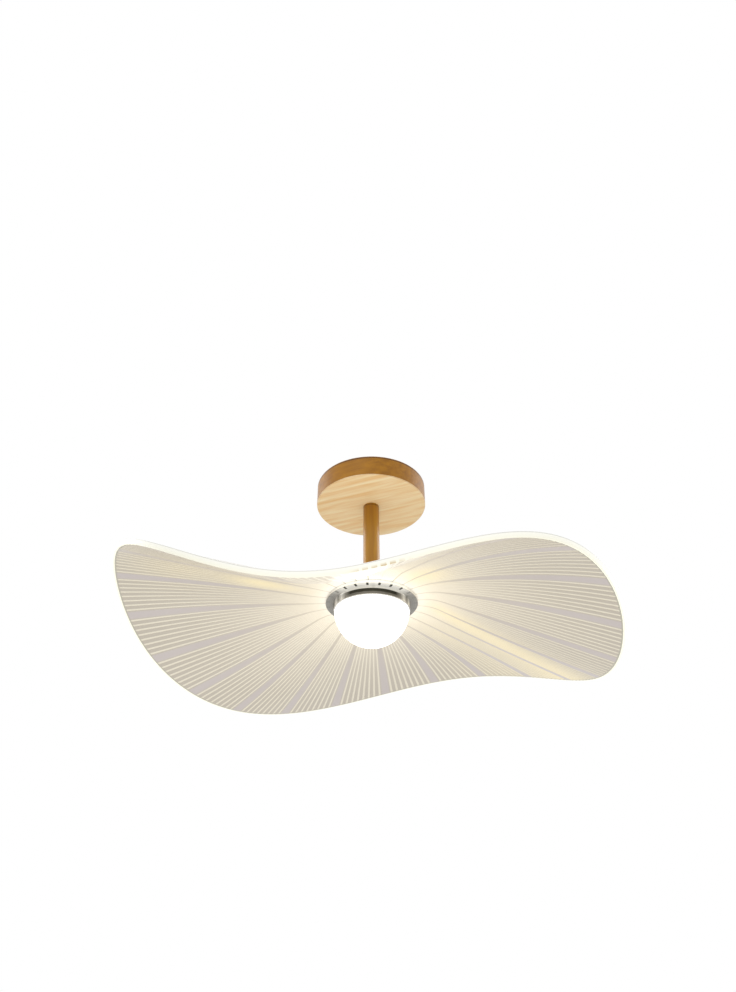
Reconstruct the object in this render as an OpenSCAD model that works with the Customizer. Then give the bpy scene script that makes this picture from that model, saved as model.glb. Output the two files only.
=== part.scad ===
// Semi-flush ceiling light: a turned wood canopy and stem carry a wavy
// acrylic light-guide disc, clamped at its hub over an opal dome.
// Millimetres, +Z up. The origin is the centre of the canopy on the ceiling.

/* [Canopy] */
// Diameter of the turned wood canopy
canopy_d = 120; // [116:1:140]
// Height of the canopy below the ceiling
canopy_h = 24; // [23:0.5:40]
// Wall of the canopy
canopy_wall = 7; // [6:0.5:9]
// Floor of the canopy, which the stem hangs from
canopy_floor = 6; // [5:0.5:7]
// Chamfer round the canopy's lower edge
canopy_edge = 0.8; // [0.3:0.1:1.5]

/* [Ceiling bracket] */
// Width of the steel bar
bar_w = 22; // [18:1:26]
// Thickness of the steel bar
bar_t = 1.5; // [1:0.1:1.6]
// Distance between the two ceiling screws
screw_pitch = 70; // [64:1:74]
// Diameter of the holes for the ceiling screws
screw_hole_d = 4.5; // [4:0.1:5.5]
// Diameter of the hole for the supply cable
cable_hole_d = 14; // [10:1:16]
// Drop of the two ears below the ceiling
ear_drop = 15; // [14:0.5:16]
// Height of the side screws below the ceiling
side_screw_drop = 10; // [9:0.5:10]

/* [Electrical parts] */
// Length of the driver's case
driver_l = 58; // [52:1:60]
// Width of the driver's case
driver_w = 21; // [19:0.5:22]
// Height of the driver's case
driver_h = 12.5; // [11:0.5:13]
// Wall of the driver's case
driver_wall = 1.5; // [1:0.1:2]
// Gap between the driver's corners and the canopy's wall
driver_gap = 2.4; // [1.5:0.1:3]
// Length of the terminal block
block_l = 34; // [32:1:38]
// Width of the terminal block
block_w = 17; // [15:0.5:18]
// Height of the terminal block
block_h = 13; // [12:0.5:14]
// Gap between the terminal block's corners and the canopy's wall
block_gap = 10; // [4:0.5:12]
// Distance between the terminal block's poles
pole_pitch = 10; // [9:0.5:11]
// Diameter of an insulated lead
lead_d = 1.8; // [1.4:0.1:2]

/* [Stem] */
// Diameter of the wood stem
stem_d = 17.5; // [15:0.5:24]
// Length of the wood stem
stem_l = 96.5; // [70:0.5:180]
// Diameter of the threaded tube
tube_d = 10; // [9.5:0.1:10.5]
// Bore of the threaded tube
tube_bore_d = 7; // [6.5:0.1:7.5]
// Height of a tube nut
nut_h = 3.5; // [3:0.5:4]
// Width of a tube nut across its flats
nut_flats = 14; // [13:0.5:16]

/* [Hub] */
// Diameter of the wood cap above the shade
cap_d = 86; // [82:1:100]
// Thickness of the wood cap
cap_h = 15; // [14:0.5:20]
// Radius of the cap's upper edge
cap_edge = 5; // [1:0.5:6]
// Diameter of the aluminium drum
drum_d = 66; // [65:0.5:67]
// Wall of the drum
drum_wall = 6; // [5.5:0.1:6.5]
// Thickness of the drum's top
drum_top = 3; // [2.5:0.1:4]
// Depth that the drum stands in the cap
drum_seat = 8; // [6:0.5:9]
// Diameter of the nickel flange under the shade
flange_d = 94; // [90:0.5:100]
// Thickness of the flange
flange_t = 3; // [2.5:0.1:4]
// Diameter of the nickel collar round the dome's neck
collar_d = 78.6; // [78:0.1:80]
// Height of the collar below the flange
collar_h = 7.5; // [7.5:0.1:9]
// Wall of the collar
collar_wall = 3; // [2.8:0.1:3.2]
// Thickness of a silicone gasket
gasket_t = 1; // [0.5:0.1:1.5]
// Emitters round the light strip, one to a sector of the shade
strip_count = 24; // [12:1:30]

/* [Shade] */
// Diameter of the acrylic disc before it is formed
shade_d = 506; // [440:2:600]
// Distance of the disc's centre from the hub's axis
shade_off = 3; // [0:0.1:5]
// Direction of the disc's centre from the hub's axis
shade_off_dir = 203; // [0:1:360]
// Thickness of the acrylic
shade_t = 5; // [4.5:0.1:6]
// Diameter of the hole in the disc
shade_hole_d = 70; // [69.6:0.1:71]
// Diameter of the flat land that the hub clamps
land_d = 104; // [98:1:120]
// Mean fall of the formed sheet, in degrees below level
fall = 12.6; // [6:0.1:16]
// Extra fall from the land to the rim, in degrees
curl = 0.2; // [0:0.1:6]
// Lean of the whole sheet, in degrees
lean = 9.6; // [0:0.1:14]
// Direction that the lean rises towards
lean_dir = 113; // [0:1:360]
// Slope of the two-lobed wave, in degrees
two_wave = 3.9; // [0:0.1:6]
// Direction of a crest of the two-lobed wave
two_dir = 29; // [0:0.5:180]
// Slope of the three-lobed wave, in degrees
three_wave = 9; // [0:0.1:12]
// Direction of a crest of the three-lobed wave
three_dir = 71.5; // [0:0.5:120]
// Extra curl towards one side, in degrees
one_curl = 3.6; // [0:0.1:6]
// Direction where the one-sided curl is greatest
one_curl_dir = 27; // [0:1:360]
// Extra curl in two lobes, in degrees
two_curl = 2.4; // [0:0.1:6]
// Direction where the two-lobed curl is greatest
two_curl_dir = 145.5; // [0:0.5:180]
// Extra curl in three lobes, in degrees
three_curl = 6; // [0:0.1:8]
// Direction where the three-lobed curl is greatest
three_curl_dir = 69; // [0:0.5:120]
// Slope of the four-lobed wave, in degrees
four_wave = 1.6; // [0:0.1:4]
// Direction of a crest of the four-lobed wave
four_dir = 34; // [0:1:90]

/* [Dome] */
// Diameter of the opal dome
dome_d = 76; // [75:0.1:77]
// Height of the ball's centre above its shoulder
dome_rise = 1.8; // [0:0.1:3]
// Wall of the opal dome
dome_wall = 2.2; // [1.8:0.1:2.4]
// Turn that frees the dome from the collar, in degrees
dome_turn = 25; // [20:1:30]
// Width of a bayonet lug, in degrees
lug_angle = 14; // [10:1:18]
// Height of a bayonet lug
lug_h = 2; // [1.5:0.1:2.2]

/* [Hidden] */

$fn = 64;
// Past a face that is cut through
over = 1;
// Radial clearance of a thread or pin in its hole
fit = 0.05;
// Clearance of pieces that turn or are slipped together
run = 0.3;
// Clearance of a screw in a hole that it only passes
pass = 0.3;

// Screw sizes: shank diameter, head diameter and head height
m4 = [4, 7, 2.4];
m3 = [3, 5.5, 2];
wood_screw = [2.9, 5.6, 1.8];

canopy_r = canopy_d / 2;
canopy_in_r = canopy_r - canopy_wall;
canopy_floor_z = canopy_floor - canopy_h;
tube_r = tube_d / 2;
tube_hole_r = tube_r + pass;

// Bracket ears stand just inside the canopy's round wall
ear_clear = 0.4;
ear_x = chord_y(canopy_in_r - ear_clear, bar_w);
weld_nut_d = 8;
weld_nut_h = 3;
side_seat_x = canopy_r - m4[2] - 0.8;
earth_x = (cable_hole_d + screw_pitch) / 4;
lug_t = 0.8;
lug_r = 4;
lug_barrel_l = 5;
lug_barrel_w = 2.4;

// Driver and terminal block stand on the canopy's floor, their corners near its wall
driver_y = chord_y(canopy_in_r - driver_gap, driver_l) - driver_w / 2;
block_y = chord_y(canopy_in_r - block_gap, block_l) - block_w / 2;
driver_ear_l = 6;
driver_ear_w = 8;
driver_ear_t = 2;
driver_screw_x = driver_l / 2 + driver_ear_l / 2;
driver_port_w = 8;
driver_port_h = 4;
driver_port_lift = 7;
driver_port_z = canopy_floor_z + driver_port_lift;
lid_lip = 1.2;
board_t = 1.6;
board_lift = 2.4;
part_clear = 1.4;
post_d = 3;
post_in = [4, 3];
transformer_x = 0.5;
transformer_l = 13;
transformer_in = 1.5;
capacitor_d = 7;
capacitor_places = [-14, 13];
chip_x = -19.7;
chip_size = [1.6, 10, 2];
pilot_depth = canopy_floor - 1.5;
pole_r = 2.6;
pole_lift = 6.5;
pole_z = canopy_floor_z + pole_lift;
clamp_wall = 0.8;
block_hole_x = pole_pitch / 2;
block_web = 3;
lead_r = lead_d / 2;
lead_spread = 2;

// Stem stack, from the canopy's floor up
washer_d = 24;
washer_t = 1.5;
lock_d = 18;
lock_t = 0.8;
upper_nut_z = canopy_floor_z + washer_t + lock_t;
tube_top_z = upper_nut_z + nut_h + 3;
stem_top_z = -canopy_h;
cap_top_z = stem_top_z - stem_l;
cap_bottom_z = cap_top_z - cap_h;

// Hub stack, from the cap down
drum_r = drum_d / 2;
drum_in_r = drum_r - drum_wall;
drum_top_z = cap_bottom_z + drum_seat;
drum_inside_z = drum_top_z - drum_top;
lower_nut_z = drum_inside_z - lock_t - nut_h;
tube_end_z = lower_nut_z - 1.7;
shade_top_z = cap_bottom_z - gasket_t;
shade_mid_z = shade_top_z - shade_t / 2;
flange_top_z = shade_top_z - shade_t - gasket_t;
flange_z = flange_top_z - flange_t;
collar_z = flange_z - collar_h;
ledge_t = 2;
ledge_z = flange_z - 0.5;
ledge_in_r = drum_in_r - 0.5;
flange_edge = 0.6;
collar_r = collar_d / 2;
collar_in_r = collar_r - collar_wall;
gasket_in_r = shade_hole_d / 2 + 1;
gasket_r = min(cap_d, flange_d) / 2 - 1;
ring_screw_r = drum_r - drum_wall / 2;
ring_screw_l = 8;

// Round board under the drum
dome_board_r = ledge_in_r - 1;
dome_board_z = ledge_z - board_t;
boss_r = 3.5;
boss_at = 19;
board_screw_l = 6;
emitter_side = 3.5;
emitter_t = 0.8;
emitter_rings = [[9, 6], [17, 12]];
pad_x = 15;
pad_y = 3;

// Light strip round the drum, in the hole of the shade
strip_t = 0.35;
strip_r = drum_r + fit;
strip_port_r = 2.2;
strip_port_z = shade_mid_z;

// Dome neck in the collar
dome_r = dome_d / 2;
dome_z = collar_z - run;
neck_r = collar_in_r - run;
neck_in_r = neck_r - dome_wall;
neck_top_z = ledge_z - ledge_t - run;
neck_low = 2.2;
lug_reach = 1.3;
lug_top_z = neck_top_z - 0.7;
lug_count = 3;
channel_r = neck_r + lug_reach + run;
// Angle by which a channel is wider than its lug, on each side
channel_play = 1;

// Shade grid: steps round and steps along a radius
shade_round = 96;
shade_steps = 13;
blend_share = 0.12;

// Distance from the centre of a circle of radius r to its chord of length l
function chord_y(r, l) = sqrt(r * r - l * l / 4);

// Points of an arc about c, from angle a to angle b
function arc(c, r, a, b, n) =
    [for (i = [0 : n]) [c[0] + r * cos(a + (b - a) * i / n), c[1] + r * sin(a + (b - a) * i / n)]];

// Tube with an inner radius, standing on z
module ring(outer_r, inner_r, z, h) {
    translate([0, 0, z])
        difference() {
            cylinder(r = outer_r, h = h);
            translate([0, 0, -over]) cylinder(r = inner_r, h = h + 2 * over);
        }
}

// Pan-head screw: head below z = 0, shank of length l above it
module screw(size, l) {
    cylinder(d = size[0], h = l);
    translate([0, 0, -size[2]])
        difference() {
            cylinder(d = size[1], h = size[2]);
            for (turn = [0, 90])
                rotate(turn)
                    translate([-size[1] / 3, -0.4, -over])
                        cube([size[1] / 1.5, 0.8, size[2] / 2 + over]);
        }
}

// Turned canopy: a hollow cup, open to the ceiling
module canopy() {
    color("burlywood")
        difference() {
            rotate_extrude($fn = 128)
                polygon([[tube_hole_r, -canopy_h], [canopy_r - canopy_edge, -canopy_h],
                    [canopy_r, -canopy_h + canopy_edge], [canopy_r, 0], [canopy_in_r, 0],
                    [canopy_in_r, canopy_floor_z], [tube_hole_r, canopy_floor_z]]);
            for (side = [0, 180])
                rotate(side) {
                    translate([canopy_in_r - over, 0, -side_screw_drop])
                        rotate([0, 90, 0])
                            cylinder(d = m4[0] + 2 * pass, h = canopy_wall + 2 * over);
                    translate([side_seat_x, 0, -side_screw_drop])
                        rotate([0, 90, 0])
                            cylinder(d = m4[1] + 2 * pass, h = canopy_wall);
                }
            for (at = floor_screw_places())
                translate([at[0], at[1], canopy_floor_z - pilot_depth])
                    cylinder(d = wood_screw[0] + 2 * fit, h = pilot_depth + over);
        }
}

// Where a screw goes into the canopy's floor, and the thickness that it holds down
function floor_screw_places() = [[-driver_screw_x, driver_y, driver_ear_t],
    [driver_screw_x, driver_y, driver_ear_t], [block_hole_x, -block_y, block_web]];

// Steel bar across the canopy, with two ears that the side screws go into
module ceiling_bracket() {
    color("silver")
        difference() {
            union() {
                translate([-ear_x, -bar_w / 2, -bar_t]) cube([2 * ear_x, bar_w, bar_t]);
                for (side = [0, 180])
                    rotate(side) {
                        translate([ear_x - bar_t, -bar_w / 2, -ear_drop])
                            cube([bar_t, bar_w, ear_drop]);
                        translate([ear_x - bar_t - weld_nut_h, 0, -side_screw_drop])
                            rotate([0, 90, 0])
                                cylinder(d = weld_nut_d, h = weld_nut_h + bar_t / 2);
                    }
            }
            translate([0, 0, -bar_t - over]) cylinder(d = cable_hole_d, h = bar_t + 2 * over);
            for (side = [-1, 1])
                translate([side * screw_pitch / 2, 0, -bar_t - over])
                    cylinder(d = screw_hole_d, h = bar_t + 2 * over);
            translate([earth_x, 0, -bar_t - over])
                cylinder(d = m4[0] + 2 * fit, h = bar_t + 2 * over);
            for (side = [0, 180])
                rotate(side)
                    translate([ear_x - bar_t - weld_nut_h - over, 0, -side_screw_drop])
                        rotate([0, 90, 0])
                            cylinder(d = m4[0] + 2 * fit, h = bar_t + weld_nut_h + 2 * over);
        }
}

// Two side screws, from the canopy's wall into the bracket's ears
module canopy_screws() {
    reach = side_seat_x - (ear_x - bar_t - weld_nut_h);
    color("gainsboro")
        for (side = [0, 180])
            rotate(side)
                translate([side_seat_x, 0, -side_screw_drop])
                    rotate([0, -90, 0]) screw(m4, reach);
}

// Brass earth screw under the bar, with the lug that it holds
module earth_terminal() {
    color("goldenrod")
        translate([earth_x, 0, -bar_t - lug_t]) {
            screw(m4, bar_t + lug_t - 0.2);
            ring(lug_r, m4[0] / 2 + fit, 0, lug_t);
            translate([-lug_barrel_w / 2, -lug_r - lug_barrel_l + 0.5, 0])
                cube([lug_barrel_w, lug_barrel_l, lug_t]);
        }
}

// Three-pole block, bored for the clamps, with wells for their screws
module terminal_block() {
    color("ivory")
        difference() {
            translate([-block_l / 2, -block_y - block_w / 2, canopy_floor_z])
                cube([block_l, block_w, block_h]);
            for (pole = [-1 : 1])
                translate([pole * pole_pitch, 0, 0]) {
                    translate([0, -block_y + block_w / 2 + over, pole_z])
                        rotate([90, 0, 0]) cylinder(r = pole_r, h = block_w + 2 * over);
                    for (end = [-1, 1])
                        translate([0, -block_y + end * block_w / 4, pole_z])
                            cylinder(d = m3[0] + 2 * fit + 0.3, h = block_h);
                }
            for (side = [-1, 1])
                translate([side * block_hole_x, -block_y, canopy_floor_z - over])
                    cylinder(d = wood_screw[0] + 2 * fit, h = block_h);
            for (side = [-1, 1])
                translate([side * block_hole_x, -block_y, canopy_floor_z + block_web])
                    cylinder(d = pole_pitch - 2 * pole_r - 0.6, h = block_h);
        }
}

// Brass clamp in each pole, with its two screws
module terminal_clamps() {
    clamp_r = pole_r - fit;
    clamp_l = block_w - 2;
    color("gold")
        for (pole = [-1 : 1])
            translate([pole * pole_pitch, -block_y, pole_z])
                difference() {
                    union() {
                        translate([0, clamp_l / 2, 0])
                            rotate([90, 0, 0]) cylinder(r = clamp_r, h = clamp_l);
                        for (end = [-1, 1])
                            translate([0, end * block_w / 4, 0])
                                cylinder(d = m3[0], h = block_h - (pole_z - canopy_floor_z) - 1);
                    }
                    translate([0, clamp_l / 2 + over, 0])
                        rotate([90, 0, 0]) cylinder(r = clamp_r - clamp_wall, h = clamp_l + 2 * over);
                }
}

// Open tub of the driver, with two fixing ears and a port at each end
module driver_case() {
    inner_l = driver_l - 2 * driver_wall;
    inner_w = driver_w - 2 * driver_wall;
    color("whitesmoke")
        translate([0, driver_y, canopy_floor_z])
            difference() {
                union() {
                    translate([-driver_l / 2, -driver_w / 2, 0])
                        cube([driver_l, driver_w, driver_h - driver_wall]);
                    for (side = [-1, 1])
                        translate([side * driver_screw_x - driver_ear_l / 2 - fit,
                                -driver_ear_w / 2, 0])
                            cube([driver_ear_l + 2 * fit, driver_ear_w, driver_ear_t]);
                }
                translate([-inner_l / 2, -inner_w / 2, driver_wall])
                    cube([inner_l, inner_w, driver_h]);
                translate([-driver_l / 2 - over, -driver_port_w / 2,
                        driver_port_lift - driver_port_h / 2])
                    cube([driver_l + 2 * over, driver_port_w, driver_h]);
                for (side = [-1, 1])
                    translate([side * driver_screw_x, 0, -over])
                        cylinder(d = wood_screw[0] + 2 * fit, h = driver_ear_t + 2 * over);
            }
}

// Lid of the driver: a plate with a lip, and a tongue down into each port
module driver_lid() {
    tongue_h = driver_h - driver_wall - driver_port_lift - driver_port_h / 2;
    lip_l = driver_l - 2 * driver_wall - 2 * pass;
    lip_w = driver_w - 2 * driver_wall - 2 * pass;
    color("white")
        translate([0, driver_y, canopy_floor_z + driver_h - driver_wall]) {
            translate([-driver_l / 2, -driver_w / 2, 0]) cube([driver_l, driver_w, driver_wall]);
            difference() {
                translate([-lip_l / 2, -lip_w / 2, -lid_lip])
                    cube([lip_l, lip_w, lid_lip + driver_wall / 2]);
                translate([-lip_l / 2 + lid_lip, -lip_w / 2 + lid_lip, -lid_lip - over])
                    cube([lip_l - 2 * lid_lip, lip_w - 2 * lid_lip, lid_lip + over]);
            }
            for (side = [-1, 1])
                translate([side * (driver_l - driver_wall) / 2 - driver_wall / 2,
                        -driver_port_w / 2 + pass, -tongue_h])
                    cube([driver_wall, driver_port_w - 2 * pass, tongue_h + driver_wall / 2]);
        }
}

// Circuit board of the driver, with its transformer, capacitors and chip
module driver_board() {
    board_l = driver_l - 2 * driver_wall - 2 * pass;
    board_w = driver_w - 2 * driver_wall - 2 * pass;
    part_z = board_lift + board_t / 2;
    part_h = driver_h - 2 * driver_wall - board_lift - board_t / 2 - part_clear;
    color("seagreen")
        translate([0, driver_y, canopy_floor_z + driver_wall]) {
            translate([-board_l / 2, -board_w / 2, board_lift]) cube([board_l, board_w, board_t]);
            for (x = [-1, 1], y = [-1, 1])
                translate([x * (board_l / 2 - post_in[0]), y * (board_w / 2 - post_in[1]), 0])
                    cylinder(d = post_d, h = part_z);
            translate([transformer_x - transformer_l / 2, -board_w / 2 + transformer_in, part_z])
                cube([transformer_l, board_w - 2 * transformer_in, part_h]);
            for (x = capacitor_places)
                translate([x, 0, part_z]) cylinder(d = capacitor_d, h = part_h);
            translate([chip_x - chip_size[0] / 2, -chip_size[1] / 2, part_z]) cube(chip_size);
        }
}

// Wood screws that hold the driver and the terminal block to the floor
module floor_screws() {
    color("lightgray")
        for (at = floor_screw_places())
            translate([at[0], at[1], canopy_floor_z + at[2]])
                rotate([180, 0, 0]) screw(at[2] == block_web ? block_screw() : wood_screw,
                    at[2] + pilot_depth - 0.5);
}

// The block's own screw has a head that fits its well
function block_screw() = [wood_screw[0], pole_pitch - 2 * pole_r - 1, 1.5];

// Steel washer that spreads the load on the canopy's floor
module spreader_washer() {
    color("silver") ring(washer_d / 2, tube_hole_r, canopy_floor_z, washer_t);
}

// Toothed lock washers under the two tube nuts
module lock_washers() {
    color("darkgray")
        for (z = [canopy_floor_z + washer_t, drum_inside_z - lock_t])
            difference() {
                ring(lock_d / 2, tube_hole_r, z, lock_t);
                for (tooth = [0 : 30 : 330])
                    rotate(tooth)
                        translate([lock_d / 2 - 1.5, -0.6, z - over]) cube([3, 1.2, lock_t + 2 * over]);
            }
}

// The two nuts that pull canopy, stem, cap and drum together
module tube_nuts() {
    color("gray")
        for (z = [upper_nut_z, lower_nut_z])
            translate([0, 0, z])
                difference() {
                    cylinder(r = nut_flats / 2 / cos(30), h = nut_h, $fn = 6);
                    translate([0, 0, -over]) cylinder(r = tube_r + fit, h = nut_h + 2 * over);
                }
}

// Hollow threaded tube through the stem; the leads run inside it
module threaded_tube() {
    color("gainsboro") ring(tube_r, tube_bore_d / 2, tube_end_z, tube_top_z - tube_end_z);
}

// Turned wood stem, bored for the tube
module stem() {
    color("peru") ring(stem_d / 2, tube_hole_r, cap_top_z, stem_l);
}

// Wood cap above the shade, recessed for the drum
module hub_cap() {
    cap_r = cap_d / 2;
    color("burlywood")
        difference() {
            rotate_extrude($fn = 128)
                polygon(concat([[tube_hole_r, cap_bottom_z], [cap_r, cap_bottom_z]],
                    arc([cap_r - cap_edge, cap_top_z - cap_edge], cap_edge, 0, 90, 6),
                    [[tube_hole_r, cap_top_z]]));
            translate([0, 0, cap_bottom_z - over])
                cylinder(r = drum_r + run, h = drum_seat + over);
        }
}

// Aluminium drum: the light strip is on its wall, the round board under it
module drum() {
    color("lightsteelblue")
        difference() {
            union() {
                ring(drum_r, drum_in_r, ledge_z, drum_top_z - ledge_z);
                translate([0, 0, drum_inside_z]) cylinder(r = drum_r - 1, h = drum_top);
                for (side = [0, 180])
                    rotate(side)
                        translate([0, boss_at, ledge_z])
                            cylinder(r = boss_r, h = drum_inside_z - ledge_z + drum_top / 2);
            }
            translate([0, 0, drum_inside_z - over]) cylinder(r = tube_hole_r, h = drum_top + 2 * over);
            for (side = [0, 180])
                rotate(side)
                    translate([0, boss_at, ledge_z - over])
                        cylinder(d = m3[0] + 2 * fit, h = board_screw_l + over);
            for (turn = ring_screw_turns())
                rotate(turn)
                    translate([ring_screw_r, 0, ledge_z - over])
                        cylinder(d = m3[0] + 2 * fit, h = ring_screw_l + over);
            translate([drum_in_r - over, 0, strip_port_z])
                rotate([0, 90, 0]) cylinder(r = strip_port_r, h = drum_wall + 2 * over);
        }
}

function ring_screw_turns() = [60, 180, 300];

// Flexible strip round the drum, one emitter in the middle of each sector
module light_strip() {
    emitter_w = min(emitter_side, 180 * strip_r / strip_count / 60);
    color("lemonchiffon")
        union() {
            ring(strip_r + strip_t, strip_r, shade_top_z - shade_t, shade_t);
            for (i = [0 : strip_count - 1])
                rotate((i + 0.5) * 360 / strip_count)
                    translate([strip_r + strip_t / 2, -emitter_w / 2, shade_mid_z - emitter_w / 2])
                        cube([strip_t / 2 + emitter_t, emitter_w, emitter_w]);
        }
}

// Silicone ring between the cap and the shade
module upper_gasket() {
    color("white") ring(gasket_r, gasket_in_r, shade_top_z, gasket_t);
}

// Silicone ring between the shade and the flange
module lower_gasket() {
    color("white") ring(gasket_r, gasket_in_r, flange_top_z, gasket_t);
}

// Slope of the sheet, in degrees above level, at share u of the way to the rim
function wave(a) = lean * cos(a - lean_dir) + two_wave * cos(2 * (a - two_dir))
    + three_wave * cos(3 * (a - three_dir)) + four_wave * cos(4 * (a - four_dir));
function ease(x) = x <= 0 ? 0 : x >= 1 ? 1 : x * x * (3 - 2 * x);
function curl_at(a) = curl + one_curl * cos(a - one_curl_dir)
    + two_curl * cos(2 * (a - two_curl_dir)) + three_curl * cos(3 * (a - three_curl_dir));
function slope(u, a) = ease(u / blend_share) * (wave(a) - fall - curl_at(a) * (2 * u - 1));

// Reach of the flat disc from the hub's axis along direction a
function reach(a) = shade_d / 2 + shade_off * cos(a - shade_off_dir);

// Middle of the sheet along direction a: the slope is summed up along the arc
function sheet_line(a) =
    let (step = (reach(a) - land_d / 2) / shade_steps, last = shade_steps + 1)
    [for (i = 0, r = land_d / 2, z = shade_mid_z;
        i < last;
        r = r + step * cos(slope((i + 0.5) / shade_steps, a)),
        z = z + step * sin(slope((i + 0.5) / shade_steps, a)),
        i = i + 1) [r * cos(a), r * sin(a), z]];

function unit(v) = v / norm(v);

// Wavy acrylic disc: two skins, half the thickness to each side of the middle
module shade() {
    hole = shade_hole_d / 2;
    n = shade_round;
    turns = [for (j = [0 : n - 1]) j * 360 / n];
    lines = [for (a = turns) concat([[hole * cos(a), hole * sin(a), shade_mid_z]], sheet_line(a))];
    m = shade_steps + 2;
    normals = [for (j = [0 : n - 1]) [for (i = [0 : m - 1])
        let (along = lines[j][min(i + 1, m - 1)] - lines[j][max(i - 1, 0)],
            across = lines[(j + 1) % n][i] - lines[(j + n - 1) % n][i])
        i < 2 ? [0, 0, 1] : unit(cross(along, across))]];
    skins = [for (side = [1, -1], j = [0 : n - 1], i = [0 : m - 1])
        lines[j][i] + side * shade_t / 2 * normals[j][i]];
    function id(side, j, i) = (side * n + j % n) * m + i;
    faces = concat(
        [for (j = [0 : n - 1], i = [0 : m - 2]) each
            [[id(0, j, i), id(0, j + 1, i), id(0, j + 1, i + 1)],
                [id(0, j, i), id(0, j + 1, i + 1), id(0, j, i + 1)],
                [id(1, j, i), id(1, j + 1, i + 1), id(1, j + 1, i)],
                [id(1, j, i), id(1, j, i + 1), id(1, j + 1, i + 1)]]],
        [for (j = [0 : n - 1]) each
            [[id(0, j, m - 1), id(0, j + 1, m - 1), id(1, j + 1, m - 1)],
                [id(0, j, m - 1), id(1, j + 1, m - 1), id(1, j, m - 1)],
                [id(0, j + 1, 0), id(0, j, 0), id(1, j, 0)],
                [id(0, j + 1, 0), id(1, j, 0), id(1, j + 1, 0)]]]);
    color("beige") polyhedron(points = skins, faces = faces);
}

// Brushed flange and collar in one turned piece, with the bayonet's channels
module clamp_ring() {
    flange_r = flange_d / 2;
    color("silver")
        difference() {
            rotate_extrude($fn = 128)
                polygon([[drum_r + run, flange_top_z], [flange_r, flange_top_z],
                    [flange_r, flange_z + flange_edge], [flange_r - flange_edge, flange_z],
                    [collar_r, flange_z], [collar_r, collar_z], [collar_in_r, collar_z],
                    [collar_in_r, ledge_z - ledge_t], [ledge_in_r, ledge_z - ledge_t],
                    [ledge_in_r, ledge_z], [drum_r + run, ledge_z]]);
            for (lug = [0 : lug_count - 1])
                rotate(lug * 360 / lug_count) {
                    channel(-channel_play - dome_turn, lug_angle + channel_play,
                        lug_top_z - lug_h - run, lug_top_z + run);
                    channel(-channel_play - dome_turn, lug_angle + channel_play - dome_turn,
                        collar_z - over, lug_top_z);
                }
            for (turn = ring_screw_turns())
                rotate(turn)
                    translate([ring_screw_r, 0, ledge_z - ledge_t - over])
                        cylinder(d = m3[0] + 2 * pass, h = ledge_t + 2 * over);
        }
}

// Cut in the collar's inside, from angle a to angle b and from z = low to z = high
module channel(a, b, low, high) {
    rotate(a)
        rotate_extrude(angle = b - a)
            translate([collar_in_r - over, low])
                square([channel_r - collar_in_r + over, high - low]);
}

// Three screws that pull the clamp ring up to the drum
module ring_screws() {
    color("gainsboro")
        for (turn = ring_screw_turns())
            rotate(turn)
                translate([ring_screw_r, 0, ledge_z - ledge_t])
                    screw(m3, ledge_t + ring_screw_l - 1);
}

// Round aluminium-backed board that lights the dome
module dome_board() {
    color("white")
        difference() {
            translate([0, 0, dome_board_z]) cylinder(r = dome_board_r, h = board_t);
            for (side = [0, 180])
                rotate(side)
                    translate([0, boss_at, dome_board_z - over])
                        cylinder(d = m3[0] + 2 * pass, h = board_t + 2 * over);
        }
}

// Emitters under the round board, in two rings
module dome_emitters() {
    color("khaki")
        for (row = emitter_rings, i = [0 : row[1] - 1])
            rotate((i + 0.5) * 360 / row[1])
                translate([row[0] - emitter_side / 2, -emitter_side / 2, dome_board_z - emitter_t])
                    cube([emitter_side, emitter_side, emitter_t]);
}

// Two screws that hold the round board to the drum's bosses
module board_screws() {
    color("gainsboro")
        for (side = [0, 180])
            rotate(side)
                translate([0, boss_at, dome_board_z]) screw(m3, board_t + board_screw_l - 1);
}

// Opal dome: a bit less than half a ball, with a neck that carries three bayonet lugs
module dome() {
    inner_r = dome_r - dome_wall;
    step_z = dome_z - neck_low;
    ball = [0, dome_z + dome_rise];
    step_a = asin((neck_low + dome_rise) / inner_r);
    shoulder_a = asin(dome_rise / dome_r);
    color("white")
        union() {
            rotate_extrude($fn = 128)
                polygon(concat(
                    [[neck_in_r, neck_top_z], [neck_in_r, step_z]],
                    arc(ball, inner_r, -step_a, -90, 24),
                    arc(ball, dome_r, -90, -shoulder_a, 24),
                    [[neck_r, dome_z], [neck_r, neck_top_z]]));
            for (lug = [0 : lug_count - 1])
                rotate(lug * 360 / lug_count)
                    rotate_extrude(angle = lug_angle)
                        translate([neck_r - dome_wall / 2, lug_top_z - lug_h])
                            square([dome_wall / 2 + lug_reach, lug_h]);
        }
}

// Smooth route through chosen points, with k steps between each two
function bend(p, k) = concat(
    [for (i = [0 : len(p) - 2], s = [0 : k - 1])
        let (t = s / k, a = p[max(i - 1, 0)], b = p[i], c = p[i + 1], d = p[min(i + 2, len(p) - 1)])
        b + t * ((c - a) / 2 + t * (a - 2.5 * b + 2 * c - d / 2
            + t * (3 * b - 3 * c + d - a) / 2))],
    [p[len(p) - 1]]);

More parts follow.
